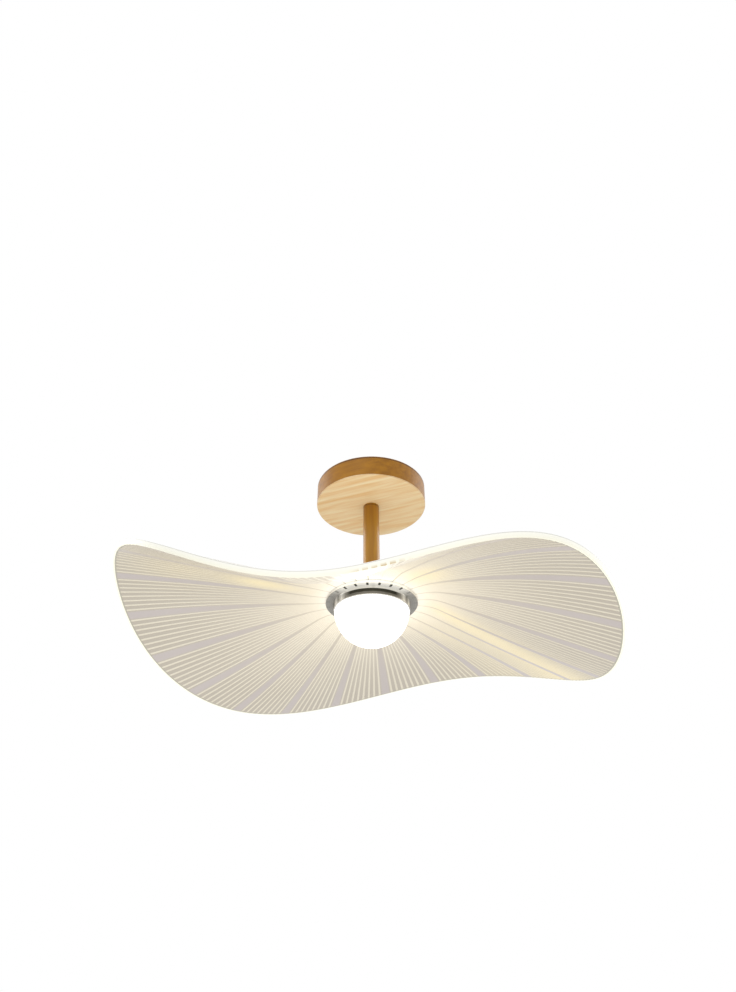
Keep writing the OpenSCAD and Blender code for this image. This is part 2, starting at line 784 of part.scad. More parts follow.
// Lead swept along a route, with eight sides
module lead(route, shade_name) {
    last = len(route) - 1;
    sides = 8;
    lay = unit([0.31, 0.89, 0.23]);
    rings = [for (i = [0 : last])
        let (t = unit(route[min(i + 1, last)] - route[max(i - 1, 0)]), p = unit(cross(t, lay)),
            q = cross(t, p))
        for (s = [0 : sides - 1])
            route[i] + lead_r * (cos(s * 360 / sides) * p + sin(s * 360 / sides) * q)];
    faces = concat(
        [for (i = [0 : last - 1], s = [0 : sides - 1])
            let (a = i * sides + s, b = i * sides + (s + 1) % sides)
            each [[a, a + sides, b], [b, a + sides, b + sides]]],
        [[for (s = [0 : sides - 1]) s], [for (s = [sides - 1 : -1 : 0]) last * sides + s]]);
    color(shade_name) polyhedron(points = rings, faces = faces);
}

block_end_y = -block_y + block_w / 2;
driver_end_x = driver_l / 2;
// How far a lead goes into a clamp and into the driver
lead_in = 4;
port_in = 2;
// Heights of the leads in the canopy: over the tube, under the bar and down to the port
lead_high_z = tube_top_z + 4.5;
lead_mid_z = driver_port_z + 2.5;

// Live and neutral leave the block and go round the tube to the driver's other end
module lead_live() {
    out_x = -driver_end_x - 4;
    lead(bend([[-pole_pitch, block_end_y - lead_in, pole_z], [-pole_pitch, block_end_y + 3, pole_z],
        [(out_x - pole_pitch) / 2, block_end_y / 3, driver_port_z + 1],
        [out_x, driver_y / 4, driver_port_z + 0.5], [out_x - 5, driver_y * 3 / 4, driver_port_z],
        [out_x, driver_y + lead_spread, driver_port_z],
        [-driver_end_x + port_in, driver_y + lead_spread, driver_port_z]], 4), "saddlebrown");
}

module lead_neutral() {
    out_x = -driver_end_x - 3;
    lead(bend([[0, block_end_y - lead_in, pole_z], [0, block_end_y + 2, pole_z],
        [-washer_d / 2, block_end_y / 2, tube_top_z + 2], [out_x + 5, driver_y / 5, tube_top_z + 2.5],
        [out_x, driver_y * 2 / 3, lead_mid_z], [out_x - 0.5, driver_y - lead_spread, driver_port_z],
        [-driver_end_x + port_in, driver_y - lead_spread, driver_port_z]], 4), "royalblue");
}

module lead_earth() {
    lug_z = -bar_t - lug_t - lead_r - 0.1;
    lug_end_y = -lug_r - lug_barrel_l;
    lead(bend([[pole_pitch, block_end_y - lead_in, pole_z], [pole_pitch, block_end_y + 3, pole_z],
        [pole_pitch + 2, lug_end_y - 5.5, lead_mid_z], [earth_x - 4, lug_end_y - 1.5, lug_z - 2.3],
        [earth_x - 0.4, lug_end_y + 1, lug_z - 0.8], [earth_x, -lug_r - 2, lug_z]], 4), "yellowgreen");
}

// Route from the driver down the tube to a pad of the round board. The lead of side 1 turns
// outside the other one, so that they never cross
function led_route(side) =
    let (in_tube = -side * (lead_r + 0.6), out_x = driver_end_x + 4 + side * 1.4, pad = -side * pad_y)
    concat(
        bend([[driver_end_x - port_in, driver_y + side * lead_spread, driver_port_z],
            [out_x, driver_y + side * lead_spread, driver_port_z],
            [out_x + 1, driver_y * 2 / 3, lead_mid_z],
            [earth_x - 1 + side * 0.8, lug_r + 3 - side, lead_high_z],
            [tube_r + 3, 1 - side * 1.5, lead_high_z + 0.5],
            [1, in_tube, tube_top_z + 1.5], [0, in_tube, tube_top_z - 4]], 4),
        bend([[0, in_tube, tube_end_z + 4], [0.5, in_tube, tube_end_z],
            [tube_r + 1, pad * 2 / 3, (tube_end_z + ledge_z) / 2], [pad_x - 1.5, pad, ledge_z + 4],
            [pad_x, pad, ledge_z + 2.5], [pad_x, pad, ledge_z + run]], 4));

module lead_plus() {
    lead(led_route(1), "firebrick");
}

module lead_minus() {
    lead(led_route(-1), "black");
}

// The two short leads from the round board to the strip, out through the drum's port
module strip_leads() {
    foot_x = pad_x + 4;
    port_y = lead_r + 0.25;
    for (side = [-1, 1])
        lead(bend([[foot_x, side * pad_y, ledge_z + run], [foot_x, side * pad_y, ledge_z + 2.5],
            [foot_x + 1, side * (pad_y - 0.6), ledge_z + 4.5],
            [drum_in_r - 3, side * (port_y + 0.1), strip_port_z - 0.5],
            [drum_in_r + 1, side * port_y, strip_port_z]], 4), "dimgray");
}

canopy();
ceiling_bracket();
canopy_screws();
earth_terminal();
terminal_block();
terminal_clamps();
driver_case();
driver_lid();
driver_board();
floor_screws();
spreader_washer();
lock_washers();
tube_nuts();
threaded_tube();
stem();
hub_cap();
drum();
light_strip();
upper_gasket();
lower_gasket();
shade();
clamp_ring();
ring_screws();
dome_board();
dome_emitters();
board_screws();
dome();
lead_live();
lead_neutral();
lead_earth();
lead_plus();
lead_minus();
strip_leads();
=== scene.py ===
# %% [markdown]
# # A semi-flush ceiling light with a wavy shade
# A turned wood canopy and stem carry a disc of clear acrylic, formed into waves and engraved
# with rays. Light goes into the disc at its hole and comes out at the rays and at the rim, and
# an opal dome glows under the hub. The frame holds every part at its real size, so this script
# gives the parts their looks: some get a finer surface, and all of them get a finish.

# %% Load the frame
import math

import bmesh
import bpy
import numpy as np
from mathutils import Euler, Matrix


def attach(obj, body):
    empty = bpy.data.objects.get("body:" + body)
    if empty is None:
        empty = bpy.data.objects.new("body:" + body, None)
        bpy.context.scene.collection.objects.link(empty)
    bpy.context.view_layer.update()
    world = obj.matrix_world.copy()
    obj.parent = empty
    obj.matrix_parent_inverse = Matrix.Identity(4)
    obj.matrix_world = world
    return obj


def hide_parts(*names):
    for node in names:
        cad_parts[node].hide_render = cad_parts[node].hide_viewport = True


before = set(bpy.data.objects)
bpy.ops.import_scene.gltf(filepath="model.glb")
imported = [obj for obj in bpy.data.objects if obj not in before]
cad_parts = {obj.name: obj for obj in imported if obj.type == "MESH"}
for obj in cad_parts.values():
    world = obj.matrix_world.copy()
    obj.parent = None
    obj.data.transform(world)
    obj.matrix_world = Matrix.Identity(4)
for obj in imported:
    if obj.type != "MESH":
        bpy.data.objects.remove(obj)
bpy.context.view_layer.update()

# %% [markdown]
# ## Small tools
# The scene counts in metres and in linear light, and a maker thinks in millimetres and in the
# colours of a screen. One function turns a hex colour into linear light, one adds a node to a
# material, one gives a new material, and one feeds a shader with what its nodes work out.

# %% Colour and node tools
MM = 0.001
NOISE_LOW, NOISE_HIGH = 0.3, 0.7  # a noise seldom leaves this span


def linear(colour):
    """Linear light of a hex colour: a share up to 0.04045 is divided by 12.92, and a larger one
    plus 0.055 is divided by 1.055 and raised to 2.4."""
    share = np.array([int(colour[i:i + 2], 16) for i in (1, 3, 5)]) / 255
    light = np.where(share <= 0.04045, share / 12.92, ((share + 0.055) / 1.055) ** 2.4)
    return (*(float(value) for value in light), 1.0)


def add(tree, kind, inputs=None, stops=None, **settings):
    """Adds a node. inputs gives each socket, by name or number, a value or an output to link to
    it, stops gives a ramp its places and colours, and settings are the node's own."""
    node = tree.nodes.new(kind)
    for name, value in settings.items():
        setattr(node, name, value)
    for place, colour in stops or []:
        stop = node.color_ramp.elements.new(place)
        stop.color = linear(colour)
    if stops:
        node.color_ramp.elements.remove(node.color_ramp.elements[0])
        node.color_ramp.elements.remove(node.color_ramp.elements[-1])
    for key, value in (inputs or {}).items():
        if isinstance(value, bpy.types.NodeSocket):
            tree.links.new(value, node.inputs[key])
        else:
            node.inputs[key].default_value = value
    return node


def new_material(name, **values):
    """A material with a Principled shader, whose constant values are set on its own sockets.
    Returns the material, its tree, its shader and the node that gives places on the object."""
    material = bpy.data.materials.new(name)
    material.use_nodes = True
    tree = material.node_tree
    shader = tree.nodes["Principled BSDF"]
    for key, value in values.items():
        shader.inputs[key.replace("_", " ")].default_value = value
    return material, tree, shader, add(tree, "ShaderNodeTexCoord")


def feed(tree, shader, **outputs):
    """Links outputs to the shader's sockets of those names."""
    for key, output in outputs.items():
        tree.links.new(output, shader.inputs[key.replace("_", " ")])


print("middle grey of a screen in linear light:", round(linear("#808080")[0], 3))

# %% [markdown]
# ## Surfaces from arrays
# Every new piece is a grid of points: some rows along a profile and some columns round it. The
# faces follow from the grid alone, so one function makes them and another turns the arrays into
# a mesh. Doubled points at a seam or a pole are merged there, which closes them, and a wire that
# this leaves between two poles goes. Modifiers could push a surface about too, but on a grid
# each point's place is a formula.

# %% Faces of a grid
def grid_faces(rows, columns, rows_closed=False):
    """Quads between neighbours of a grid that is closed round its columns. Point number is row
    times columns plus column."""
    i = np.arange(rows if rows_closed else rows - 1)[:, None]
    j = np.arange(columns)[None, :]
    below, beside = (i + 1) % rows, (j + 1) % columns
    corners = [i * columns + j, i * columns + beside,
               below * columns + beside, below * columns + j]
    return np.stack(np.broadcast_arrays(*corners), axis=-1).reshape(-1, 4)


print("quads of a closed grid, 3 rows by 4 columns:", len(grid_faces(3, 4, rows_closed=True)))


# %% A piece from points and faces
def make_piece(name, points, faces, materials, body, fields=None, zones=None, sharp=35):
    """Mesh piece from points in metres and quads. fields are named numbers at the points, zones
    picks each face's material, and edges sharper than `sharp` degrees stay crisp."""
    mesh = bpy.data.meshes.new(name)
    mesh.vertices.add(len(points))
    mesh.vertices.foreach_set("co", np.ascontiguousarray(points, np.float32).ravel())
    mesh.loops.add(faces.size)
    mesh.loops.foreach_set("vertex_index", np.ascontiguousarray(faces, np.int32).ravel())
    mesh.polygons.add(len(faces))
    mesh.polygons.foreach_set("loop_start", np.arange(0, faces.size, 4, dtype=np.int32))
    if zones is not None:
        mesh.polygons.foreach_set("material_index", np.ascontiguousarray(zones, np.int32))
    for field, values in (fields or {}).items():
        attribute = mesh.attributes.new(field, "FLOAT", "POINT")
        attribute.data.foreach_set("value", np.ascontiguousarray(values, np.float32).ravel())
    mesh.update(calc_edges=True)
    merged = bmesh.new()
    merged.from_mesh(mesh)
    bmesh.ops.remove_doubles(merged, verts=merged.verts, dist=1e-6)
    wires = [edge for edge in merged.edges if not edge.link_faces]
    bmesh.ops.delete(merged, geom=wires, context="EDGES")
    if merged.calc_volume(signed=True) < 0:
        bmesh.ops.reverse_faces(merged, faces=merged.faces)
    volume = merged.calc_volume(signed=True)
    open_edges = sum(1 for edge in merged.edges if len(edge.link_faces) != 2)
    merged.to_mesh(mesh)
    merged.free()
    for material in materials:
        mesh.materials.append(material)
    mesh.polygons.foreach_set("use_smooth", np.ones(len(mesh.polygons), bool))
    mesh.set_sharp_from_angle(angle=math.radians(sharp))
    piece = bpy.data.objects.new(name, mesh)
    bpy.context.scene.collection.objects.link(piece)
    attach(piece, body)
    print(f"{name}: {len(mesh.polygons)} faces, {volume * 1e9:.0f} mm3, {open_edges} open edges")
    return piece


# %% Turned surfaces
def lathe(profile, columns):
    """Points of a turned surface: each point (radius, height) of the closed profile, in
    millimetres, goes once round the vertical axis. Rows follow the profile."""
    profile = np.asarray(profile, float)
    turn = np.arange(columns) * 2 * np.pi / columns
    radius, height = profile[:, :1], profile[:, 1:]
    level = np.broadcast_to(height, (len(profile), columns))
    grid = [radius * np.cos(turn), radius * np.sin(turn), level]
    return np.stack(grid, axis=-1).reshape(-1, 3) * MM


def round_corner(centre, radius, start, end, steps=6):
    """Arc of a profile about a centre, from one angle to another, in degrees and millimetres:
    the centre plus the radius times cos and sin of the angle."""
    angle = np.radians(np.linspace(start, end, steps + 1))
    across = centre[0] + radius * np.cos(angle)
    return np.stack([across, centre[1] + radius * np.sin(angle)], axis=-1)


print("points of a quarter arc:", len(round_corner((0, 0), 1, 0, 90)))

# %% [markdown]
# ## The camera
# The photograph looks up at the lamp from below. Its view is rebuilt from the canopy's round
# underside: the camera is 850 mm from the middle of that circle and 34.6 degrees below it, and
# a line as long as its distance is 765 pixels wide on a picture 992 pixels high. That middle
# lies 11 pixels below and 3.8 pixels right of the picture's own, which gives tilt and turn, and
# the horizon leans by a fifth of a degree.

# %% Camera
FRAME_HEIGHT, PIXELS_PER_DISTANCE, SENSOR_MM = 992, 765, 36
CANOPY_UNDERSIDE = -24
CAMERA_BELOW, CAMERA_DISTANCE = 34.6, 850
PIXELS_DOWN, PIXELS_RIGHT, ROLL = 11, 3.8, -0.2

canopy_middle = np.array([0, 0, CANOPY_UNDERSIDE * MM])
below = math.radians(CAMERA_BELOW)
way_down = np.array([0, math.cos(below), math.sin(below)])
camera_data = bpy.data.cameras.new("camera")
camera_data.sensor_width = SENSOR_MM
camera_data.lens = PIXELS_PER_DISTANCE * SENSOR_MM / FRAME_HEIGHT
camera_data.clip_start = 0.01
camera = bpy.data.objects.new("camera", camera_data)
camera.location = canopy_middle - CAMERA_DISTANCE * MM * way_down
tilt = below + math.atan(PIXELS_DOWN / PIXELS_PER_DISTANCE)
turn = math.atan(PIXELS_RIGHT / PIXELS_PER_DISTANCE)
level_view = Euler((math.pi / 2 + tilt, 0, turn)).to_matrix()
roll = Matrix.Rotation(math.radians(ROLL), 3, "Z")
camera.rotation_euler = (level_view @ roll).to_euler()
bpy.context.scene.collection.objects.link(camera)
bpy.context.scene.camera = camera
print("lens in millimetres:", round(camera_data.lens, 2),
      "at", [round(x, 3) for x in camera.location])

# %% [markdown]
# ## Light, floor and background
# The lamp is photographed in a white studio. The world is white where it is seen, straight on,
# through glass or in a gloss, but only grey where it lights the lamp, so a pale background costs
# no contrast. More light would whiten the background too, but it would bleach the wood.

# %% World
world = bpy.data.worlds.new("studio")
bpy.context.scene.world = world
world.use_nodes = True
tree = world.node_tree
path = add(tree, "ShaderNodeLightPath")
direct = add(tree, "ShaderNodeMath", {
    0: path.outputs["Is Camera Ray"], 1: path.outputs["Is Transmission Ray"]},
    operation="MAXIMUM")
seen = add(tree, "ShaderNodeMath", {
    0: direct.outputs[0], 1: path.outputs["Is Glossy Ray"]}, operation="MAXIMUM")
sky = add(tree, "ShaderNodeMix", {
    0: seen.outputs[0], 6: linear("#c2c2c2"), 7: linear("#ffffff")}, data_type="RGBA")
feed(tree, tree.nodes["Background"], Color=sky.outputs[2])
bpy.context.scene.view_settings.view_transform = "Standard"
print("world:", world.name)

# %% [markdown]
# A wide soft lamp on the floor brightens what faces down. Soft boxes at both sides draw light
# edges on the stem and the ring, a weak lamp in front fills in, and a soft sun from above gives
# the top its form.


# %% Lamps
def studio_lamp(name, kind, place, turn, energy, **settings):
    """A plain lamp that the camera doesn't see. turn is its rotation in degrees, and place and
    the sizes in settings are in metres."""
    data = bpy.data.lights.new(name, kind)
    data.energy = energy
    for key, value in settings.items():
        setattr(data, key, value)
    lamp = bpy.data.objects.new(name, data)
    lamp.location = place
    lamp.rotation_euler = [math.radians(angle) for angle in turn]
    lamp.visible_camera = False
    bpy.context.scene.collection.objects.link(lamp)
    return lamp


side_box = {"shape": "RECTANGLE", "size": 0.8, "size_y": 1.2}
lamps = [
    studio_lamp("floor_light", "AREA", (0, -0.1, -1.15), (180, 0, 0), 12,
                shape="SQUARE", size=2.2),
    studio_lamp("left_box", "AREA", (-1.4, 0.5, 0.3), (80, 0, -110), 8.5, **side_box),
    studio_lamp("right_box", "AREA", (1.4, 0.5, 0.3), (80, 0, 110), 9, **side_box),
    studio_lamp("front_light", "AREA", (0, -1.05, -0.75), (121, 0, 0), 4.2,
                shape="SQUARE", size=0.75),
    studio_lamp("top_sun", "SUN", (0, 0, 2), (18, -14, 0), 1.2, angle=math.radians(20))]
print("lamps:", [lamp.name for lamp in lamps])

# %% [markdown]
# The floor far below catches the lamp's shadow. It is a plain disc in matt paint, so it gives
# no reflection of its own, and its tone wanders a little over a third of a metre.

# %% Floor
FLOOR_Z, FLOOR_RADII, FLOOR_COLUMNS = -1200, (0, 1200, 4000, 9000), 48

floor_paint, tree, shader, place = new_material("matt_studio_paint", Roughness=0.9,
                                                Specular_IOR_Level=0.1)
mottle = add(tree, "ShaderNodeTexNoise", {
    "Vector": place.outputs["Object"], "Scale": 3, "Detail": 3})
tone = add(tree, "ShaderNodeValToRGB", {0: mottle.outputs["Fac"]},
           stops=[(NOISE_LOW, "#f7f7f7"), (NOISE_HIGH, "#fafafa")])
feed(tree, shader, Base_Color=tone.outputs[0])

floor_points = lathe([(radius, FLOOR_Z) for radius in FLOOR_RADII], FLOOR_COLUMNS)
floor_quads = grid_faces(len(FLOOR_RADII), FLOOR_COLUMNS)[:, ::-1]
floor_mesh = bpy.data.meshes.new("floor")
floor_mesh.from_pydata(floor_points.tolist(), [], floor_quads.tolist())
floor_mesh.materials.append(floor_paint)
floor = bpy.data.objects.new("floor", floor_mesh)
bpy.context.scene.collection.objects.link(floor)
print("floor:", len(floor_quads), "quads, in metres below the ceiling:", -FLOOR_Z * MM)

# %% [markdown]
# ## The wood
# Canopy, cap and stem are turned from a pale hardwood such as ash, and lacquered. A flat-sawn
# board shows rings of growth that it cuts at a low angle: wide arches in the middle and fine
# straight lines beside them. A picture of wood wrapped round the canopy would show a seam at
# the edge. So the rings are modelled as in the tree, as distance from a leaning axis beside the
# board, and the pattern runs on over an edge as real grain does. The rings wander, and streaks
# and fine pores stretch along the grain.

# %% Grain
RING_STRETCH = (0.02, 1.0, 0.75)
WANDER_RINGS, RING_SHARE, FIBRE_SHARE = 6.0, 0.3, 0.35
# Each noise has the length and width of its cells in millimetres, its detail and its roughness.
# Real pores are finer than a fibre cell here, but they wouldn't show in the render.
GRAIN_NOISE = {"wander": (166.67, 25, 3, 0.6), "streaks": (71.43, 4.167, 2, 0.5),
               "fibres": (33.33, 1.111, 3, 0.5)}


def grain(tree, place, ring_mm, grain_turn, pith_mm):
    """Late wood's share and the fibres' noise. A ring is the fold of (distance from the pith
    over ring_mm, plus the wander), and the share is 0.3 ring plus streaks plus 0.35 fibres,
    stretched from 0.5 to 1.1 over 0 to 1. grain_turn lays the grain along X, in degrees, and
    pith_mm is how far beside the board the middle of the tree lies."""
    board = add(tree, "ShaderNodeMapping", {
        "Vector": place.outputs["Object"], "Location": (0, 0, pith_mm * MM),
        "Rotation": [math.radians(angle) for angle in grain_turn]})
    noise = {}
    for layer, (long_mm, wide_mm, detail, roughness) in GRAIN_NOISE.items():
        cells = add(tree, "ShaderNodeMapping", {
            "Vector": board.outputs[0],
            "Scale": [1 / (size * MM) for size in (long_mm, wide_mm, wide_mm)]})
        noise[layer] = add(tree, "ShaderNodeTexNoise", {
            "Vector": cells.outputs[0], "Scale": 1, "Detail": detail,
            "Roughness": roughness}).outputs["Fac"]
    across = add(tree, "ShaderNodeVectorMath", {0: board.outputs[0], 1: RING_STRETCH},
                 operation="MULTIPLY")
    from_pith = add(tree, "ShaderNodeVectorMath", {0: across.outputs[0]}, operation="LENGTH")
    rings = add(tree, "ShaderNodeMath", {
        0: from_pith.outputs["Value"], 1: 1 / (ring_mm * MM)}, operation="MULTIPLY")
    rings = add(tree, "ShaderNodeMath", {
        0: noise["wander"], 1: WANDER_RINGS, 2: rings.outputs[0]}, operation="MULTIPLY_ADD")
    ring = add(tree, "ShaderNodeMath", {0: rings.outputs[0], 1: 1.0}, operation="PINGPONG")
    mixed = add(tree, "ShaderNodeMath", {
        0: ring.outputs[0], 1: RING_SHARE, 2: noise["streaks"]}, operation="MULTIPLY_ADD")
    mixed = add(tree, "ShaderNodeMath", {
        0: noise["fibres"], 1: FIBRE_SHARE, 2: mixed.outputs[0]}, operation="MULTIPLY_ADD")
    late_share = add(tree, "ShaderNodeMapRange", {
        "Value": mixed.outputs[0], "From Min": 0.5, "From Max": 1.1})
    return late_share.outputs[0], noise["fibres"]


print("widest fibre cell in millimetres:", GRAIN_NOISE["fibres"][1])

# %% [markdown]
# Upright faces get deeper amber tones than the faces that lie flat: painted shade, as the light
# comes mostly from below. A painted shade by height also draws a dark line at the canopy's top
# edge, where it meets the ceiling, and darkens the stem towards its top, with a line of painted
# shadow where it meets the canopy.


# %% Lacquered wood
def lacquered_wood(name, face, late, side, deep, coat, painted_shade_by_height, **board):
    """Wood under a clear coat. face and late are the early and late wood of the faces that lie
    flat, side and deep those of the upright ones, darker as painted shade, mixed by how far the
    normal is upright. coat is how full the lacquer is. painted_shade_by_height darkens the wood
    by height as painted shade: pairs of millimetres and a colour to multiply by, from the lowest
    up. board is what grain asks for."""
    material, tree, shader, place = new_material(
        name, Roughness=0.5, IOR=1.5, Specular_IOR_Level=0.1,
        Coat_Weight=coat, Coat_IOR=1.5, Coat_Roughness=0.3)
    late_share, fibres = grain(tree, place, **board)
    flat_wood = add(tree, "ShaderNodeMix", {
        0: late_share, 6: linear(face), 7: linear(late)}, data_type="RGBA")
    side_wood = add(tree, "ShaderNodeMix", {
        0: late_share, 6: linear(side), 7: linear(deep)}, data_type="RGBA")
    # Upright faces take the side tones: painted shade.
    facing = add(tree, "ShaderNodeSeparateXYZ", {0: place.outputs["Normal"]})
    level = add(tree, "ShaderNodeMath", {0: facing.outputs["Z"]}, operation="ABSOLUTE")
    wood = add(tree, "ShaderNodeMix", {
        0: level.outputs[0], 6: side_wood.outputs[2], 7: flat_wood.outputs[2]},
        data_type="RGBA")
    # Painted shade by height: a ramp of colours multiplied over the wood.
    low, high = painted_shade_by_height[0][0], painted_shade_by_height[-1][0]
    height = add(tree, "ShaderNodeSeparateXYZ", {0: place.outputs["Object"]})
    share_up = add(tree, "ShaderNodeMapRange", {
        "Value": height.outputs["Z"], "From Min": low * MM, "From Max": high * MM})
    painted_shade_ramp = add(tree, "ShaderNodeValToRGB", {0: share_up.outputs[0]},
                  stops=[((mm - low) / (high - low), colour) for mm, colour in painted_shade_by_height])
    wood = add(tree, "ShaderNodeMix", {
        0: 1.0, 6: wood.outputs[2], 7: painted_shade_ramp.outputs[0]},
        data_type="RGBA", blend_type="MULTIPLY")
    bump = add(tree, "ShaderNodeBump", {
        "Height": fibres, "Strength": 0.12, "Distance": 0.2 * MM})
    feed(tree, shader, Base_Color=wood.outputs[2], Normal=bump.outputs[0])
    return material


# The last table of each is painted shade: a dark line at the canopy's top edge, and the stem
# darker towards its top with a painted shadow line there.
ash = lacquered_wood(
    "lacquered_ash", "#fdeecb", "#efca92", "#a46e04", "#8c5a01", coat=0.5,
    ring_mm=5, grain_turn=(0, 2.5, 21), pith_mm=42,
    painted_shade_by_height=[(-24, "#ffffff"), (-2.4, "#ffffff"), (-1.4, "#8c7e64"), (0, "#8c7e64")])
amber_ash = lacquered_wood(
    "amber_lacquered_ash", "#bd8a18", "#a97610", "#bb8712", "#a6720c", coat=0.85,
    ring_mm=3.5, grain_turn=(0, 88, 0), pith_mm=20,
    painted_shade_by_height=[(-80, "#ffffff"), (-31, "#dbce8c"), (-27, "#dbce8c"),
           (-26, "#8c743a"), (-24, "#8c743a")])
print("wood:", ash.name, "and", amber_ash.name)

# %% [markdown]
# ## Metals
# Steel parts have the pale, faintly mottled skin of a zinc bath, brass is turned and left bare,
# and the drum is aluminium with the fine rings that the lathe leaves. A metal shows what is
# round it, so each one gets a base colour that wanders between two close tones, and the same
# pattern changes its gloss, which breaks the reflection up as a real skin does.


# %% Metals
def metal(name, early, late, roughness, round_mm=None, speckle_mm=1.2):
    """Metal with a base colour between two tones. Turning marks follow the distance from the
    axis plus the height, over round_mm, and a cast or plated skin has speckles of speckle_mm."""
    material, tree, shader, place = new_material(name, Metallic=1.0)
    if round_mm:
        flat = add(tree, "ShaderNodeVectorMath", {
            0: place.outputs["Object"], 1: (1.0, 1.0, 0.0)}, operation="MULTIPLY")
        radius = add(tree, "ShaderNodeVectorMath", {0: flat.outputs[0]}, operation="LENGTH")
        height = add(tree, "ShaderNodeSeparateXYZ", {0: place.outputs["Object"]})
        line = add(tree, "ShaderNodeMath", {
            0: radius.outputs["Value"], 1: height.outputs["Z"]}, operation="ADD")
        noise = add(tree, "ShaderNodeTexNoise", {
            "W": line.outputs[0], "Scale": 1 / (round_mm * MM), "Detail": 3},
            noise_dimensions="1D")
    else:
        noise = add(tree, "ShaderNodeTexNoise", {
            "Vector": place.outputs["Object"], "Scale": 1 / (speckle_mm * MM), "Detail": 2})
    pattern = noise.outputs["Fac"]
    tone = add(tree, "ShaderNodeValToRGB", {0: pattern},
               stops=[(NOISE_LOW, early), (NOISE_HIGH, late)])
    rough = add(tree, "ShaderNodeMapRange", {
        "Value": pattern, "From Min": NOISE_LOW, "From Max": NOISE_HIGH,
        "To Min": roughness * 0.8, "To Max": roughness * 1.25})
    bump = add(tree, "ShaderNodeBump", {
        "Height": pattern, "Strength": 0.15, "Distance": 0.05 * MM})
    feed(tree, shader, Base_Color=tone.outputs[0], Roughness=rough.outputs[0],
         Normal=bump.outputs[0])
    return material


zinc = metal("zinc_plated_steel", "#b4b6b8", "#cdd0d3", 0.34, speckle_mm=2.5)
screw_zinc = metal("zinc_plated_screw", "#b9bbbd", "#d3d5d6", 0.25, speckle_mm=0.6)
brass = metal("turned_brass", "#c9a24f", "#dcbb6c", 0.28, speckle_mm=0.5)
aluminium = metal("turned_aluminium", "#b9bcc0", "#d2d5d8", 0.3, round_mm=0.4)
print("metals:", [m.name for m in (zinc, screw_zinc, brass, aluminium)])

# %% [markdown]
# ## Brushed nickel
# The ring under the shade is nickel, turned on a lathe and brushed as it spins, so its scratches
# run round the axis. They spread a reflection across themselves, which gives the ring its light
# and dark sectors: an anisotropic gloss whose tangent goes round does the same. The scratches
# are about half a millimetre apart, as coarse as they need to be to show.

# %% Nickel and places on the ring
# The emission colour serves the painted glow on the near arc.
nickel, ring_tree, ring_shader, place = new_material(
    "brushed_nickel", Metallic=1.0, Anisotropic=0.8, Anisotropic_Rotation=0.25,
    Emission_Color=linear("#a8a69e"))
round_axis = add(ring_tree, "ShaderNodeTangent", direction_type="RADIAL", axis="Z")
feed(ring_tree, ring_shader, Tangent=round_axis.outputs[0])
at = add(ring_tree, "ShaderNodeSeparateXYZ", {0: place.outputs["Object"]})
height_mm = add(ring_tree, "ShaderNodeMath", {0: at.outputs["Z"], 1: 1 / MM},
                operation="MULTIPLY").outputs[0]
flat = add(ring_tree, "ShaderNodeVectorMath", {
    0: place.outputs["Object"], 1: (1 / MM, 1 / MM, 0.0)}, operation="MULTIPLY")
radius_mm = add(ring_tree, "ShaderNodeVectorMath", {0: flat.outputs[0]},
                operation="LENGTH").outputs["Value"]
turn_of = add(ring_tree, "ShaderNodeMath", {0: at.outputs["Y"], 1: at.outputs["X"]},
              operation="ARCTAN2").outputs[0]
print("nickel nodes so far:", len(ring_tree.nodes))

# %% [markdown]
# Marks on a turned part are easiest to place by radius, height and direction. A mask is 1 where
# all its limits hold, so a few soft limits multiplied draw a slot, a tick or a lit arc.

# %% Masks
UPRIGHT_LEVEL = 0.5


def all_of(*masks):
    """The share where every mask holds: their product."""
    product = masks[0]
    for mask in masks[1:]:
        product = add(ring_tree, "ShaderNodeMath", {0: product, 1: mask},
                      operation="MULTIPLY").outputs[0]
    return product


def between(value, low, high, soft):
    """1 between two limits and 0 outside them, with a soft step at both."""
    above = add(ring_tree, "ShaderNodeMapRange", {
        "Value": value, "From Min": low - soft, "From Max": low + soft})
    under = add(ring_tree, "ShaderNodeMapRange", {
        "Value": value, "From Min": high - soft, "From Max": high + soft,
        "To Min": 1, "To Max": 0})
    return all_of(above.outputs[0], under.outputs[0])


def from_copy(count, middle):
    """Angle from the nearest of `count` equal directions round the axis, one of them `middle`:
    the turn from middle, folded at half a step, in degrees."""
    turned = add(ring_tree, "ShaderNodeMath", {0: turn_of, 1: math.radians(-middle)},
                 operation="ADD")
    folded = add(ring_tree, "ShaderNodeMath", {0: turned.outputs[0], 1: math.pi / count},
                 operation="PINGPONG")
    return add(ring_tree, "ShaderNodeMath", {0: folded.outputs[0]},
               operation="DEGREES").outputs[0]


facing = add(ring_tree, "ShaderNodeSeparateXYZ", {0: place.outputs["Normal"]})
level = add(ring_tree, "ShaderNodeMath", {0: facing.outputs["Z"]}, operation="ABSOLUTE")
upright = add(ring_tree, "ShaderNodeMath", {0: level.outputs[0], 1: UPRIGHT_LEVEL},
              operation="LESS_THAN").outputs[0]
print("a face is upright over", round(math.degrees(math.acos(UPRIGHT_LEVEL))), "degrees")

# %% [markdown]
# The flange's rim is cut bright. The collar has three windows of painted shade: in each, a dark
# slot over a grey zone, with the plain metal as a bright lip above, and a painted glint at
# either side. The face of the flange has 24 dark ticks of painted shade, full on the near arc
# and faint on the rest. That arc catches the light that leaves the sheet, so it gets a faint
# painted glow of its own.

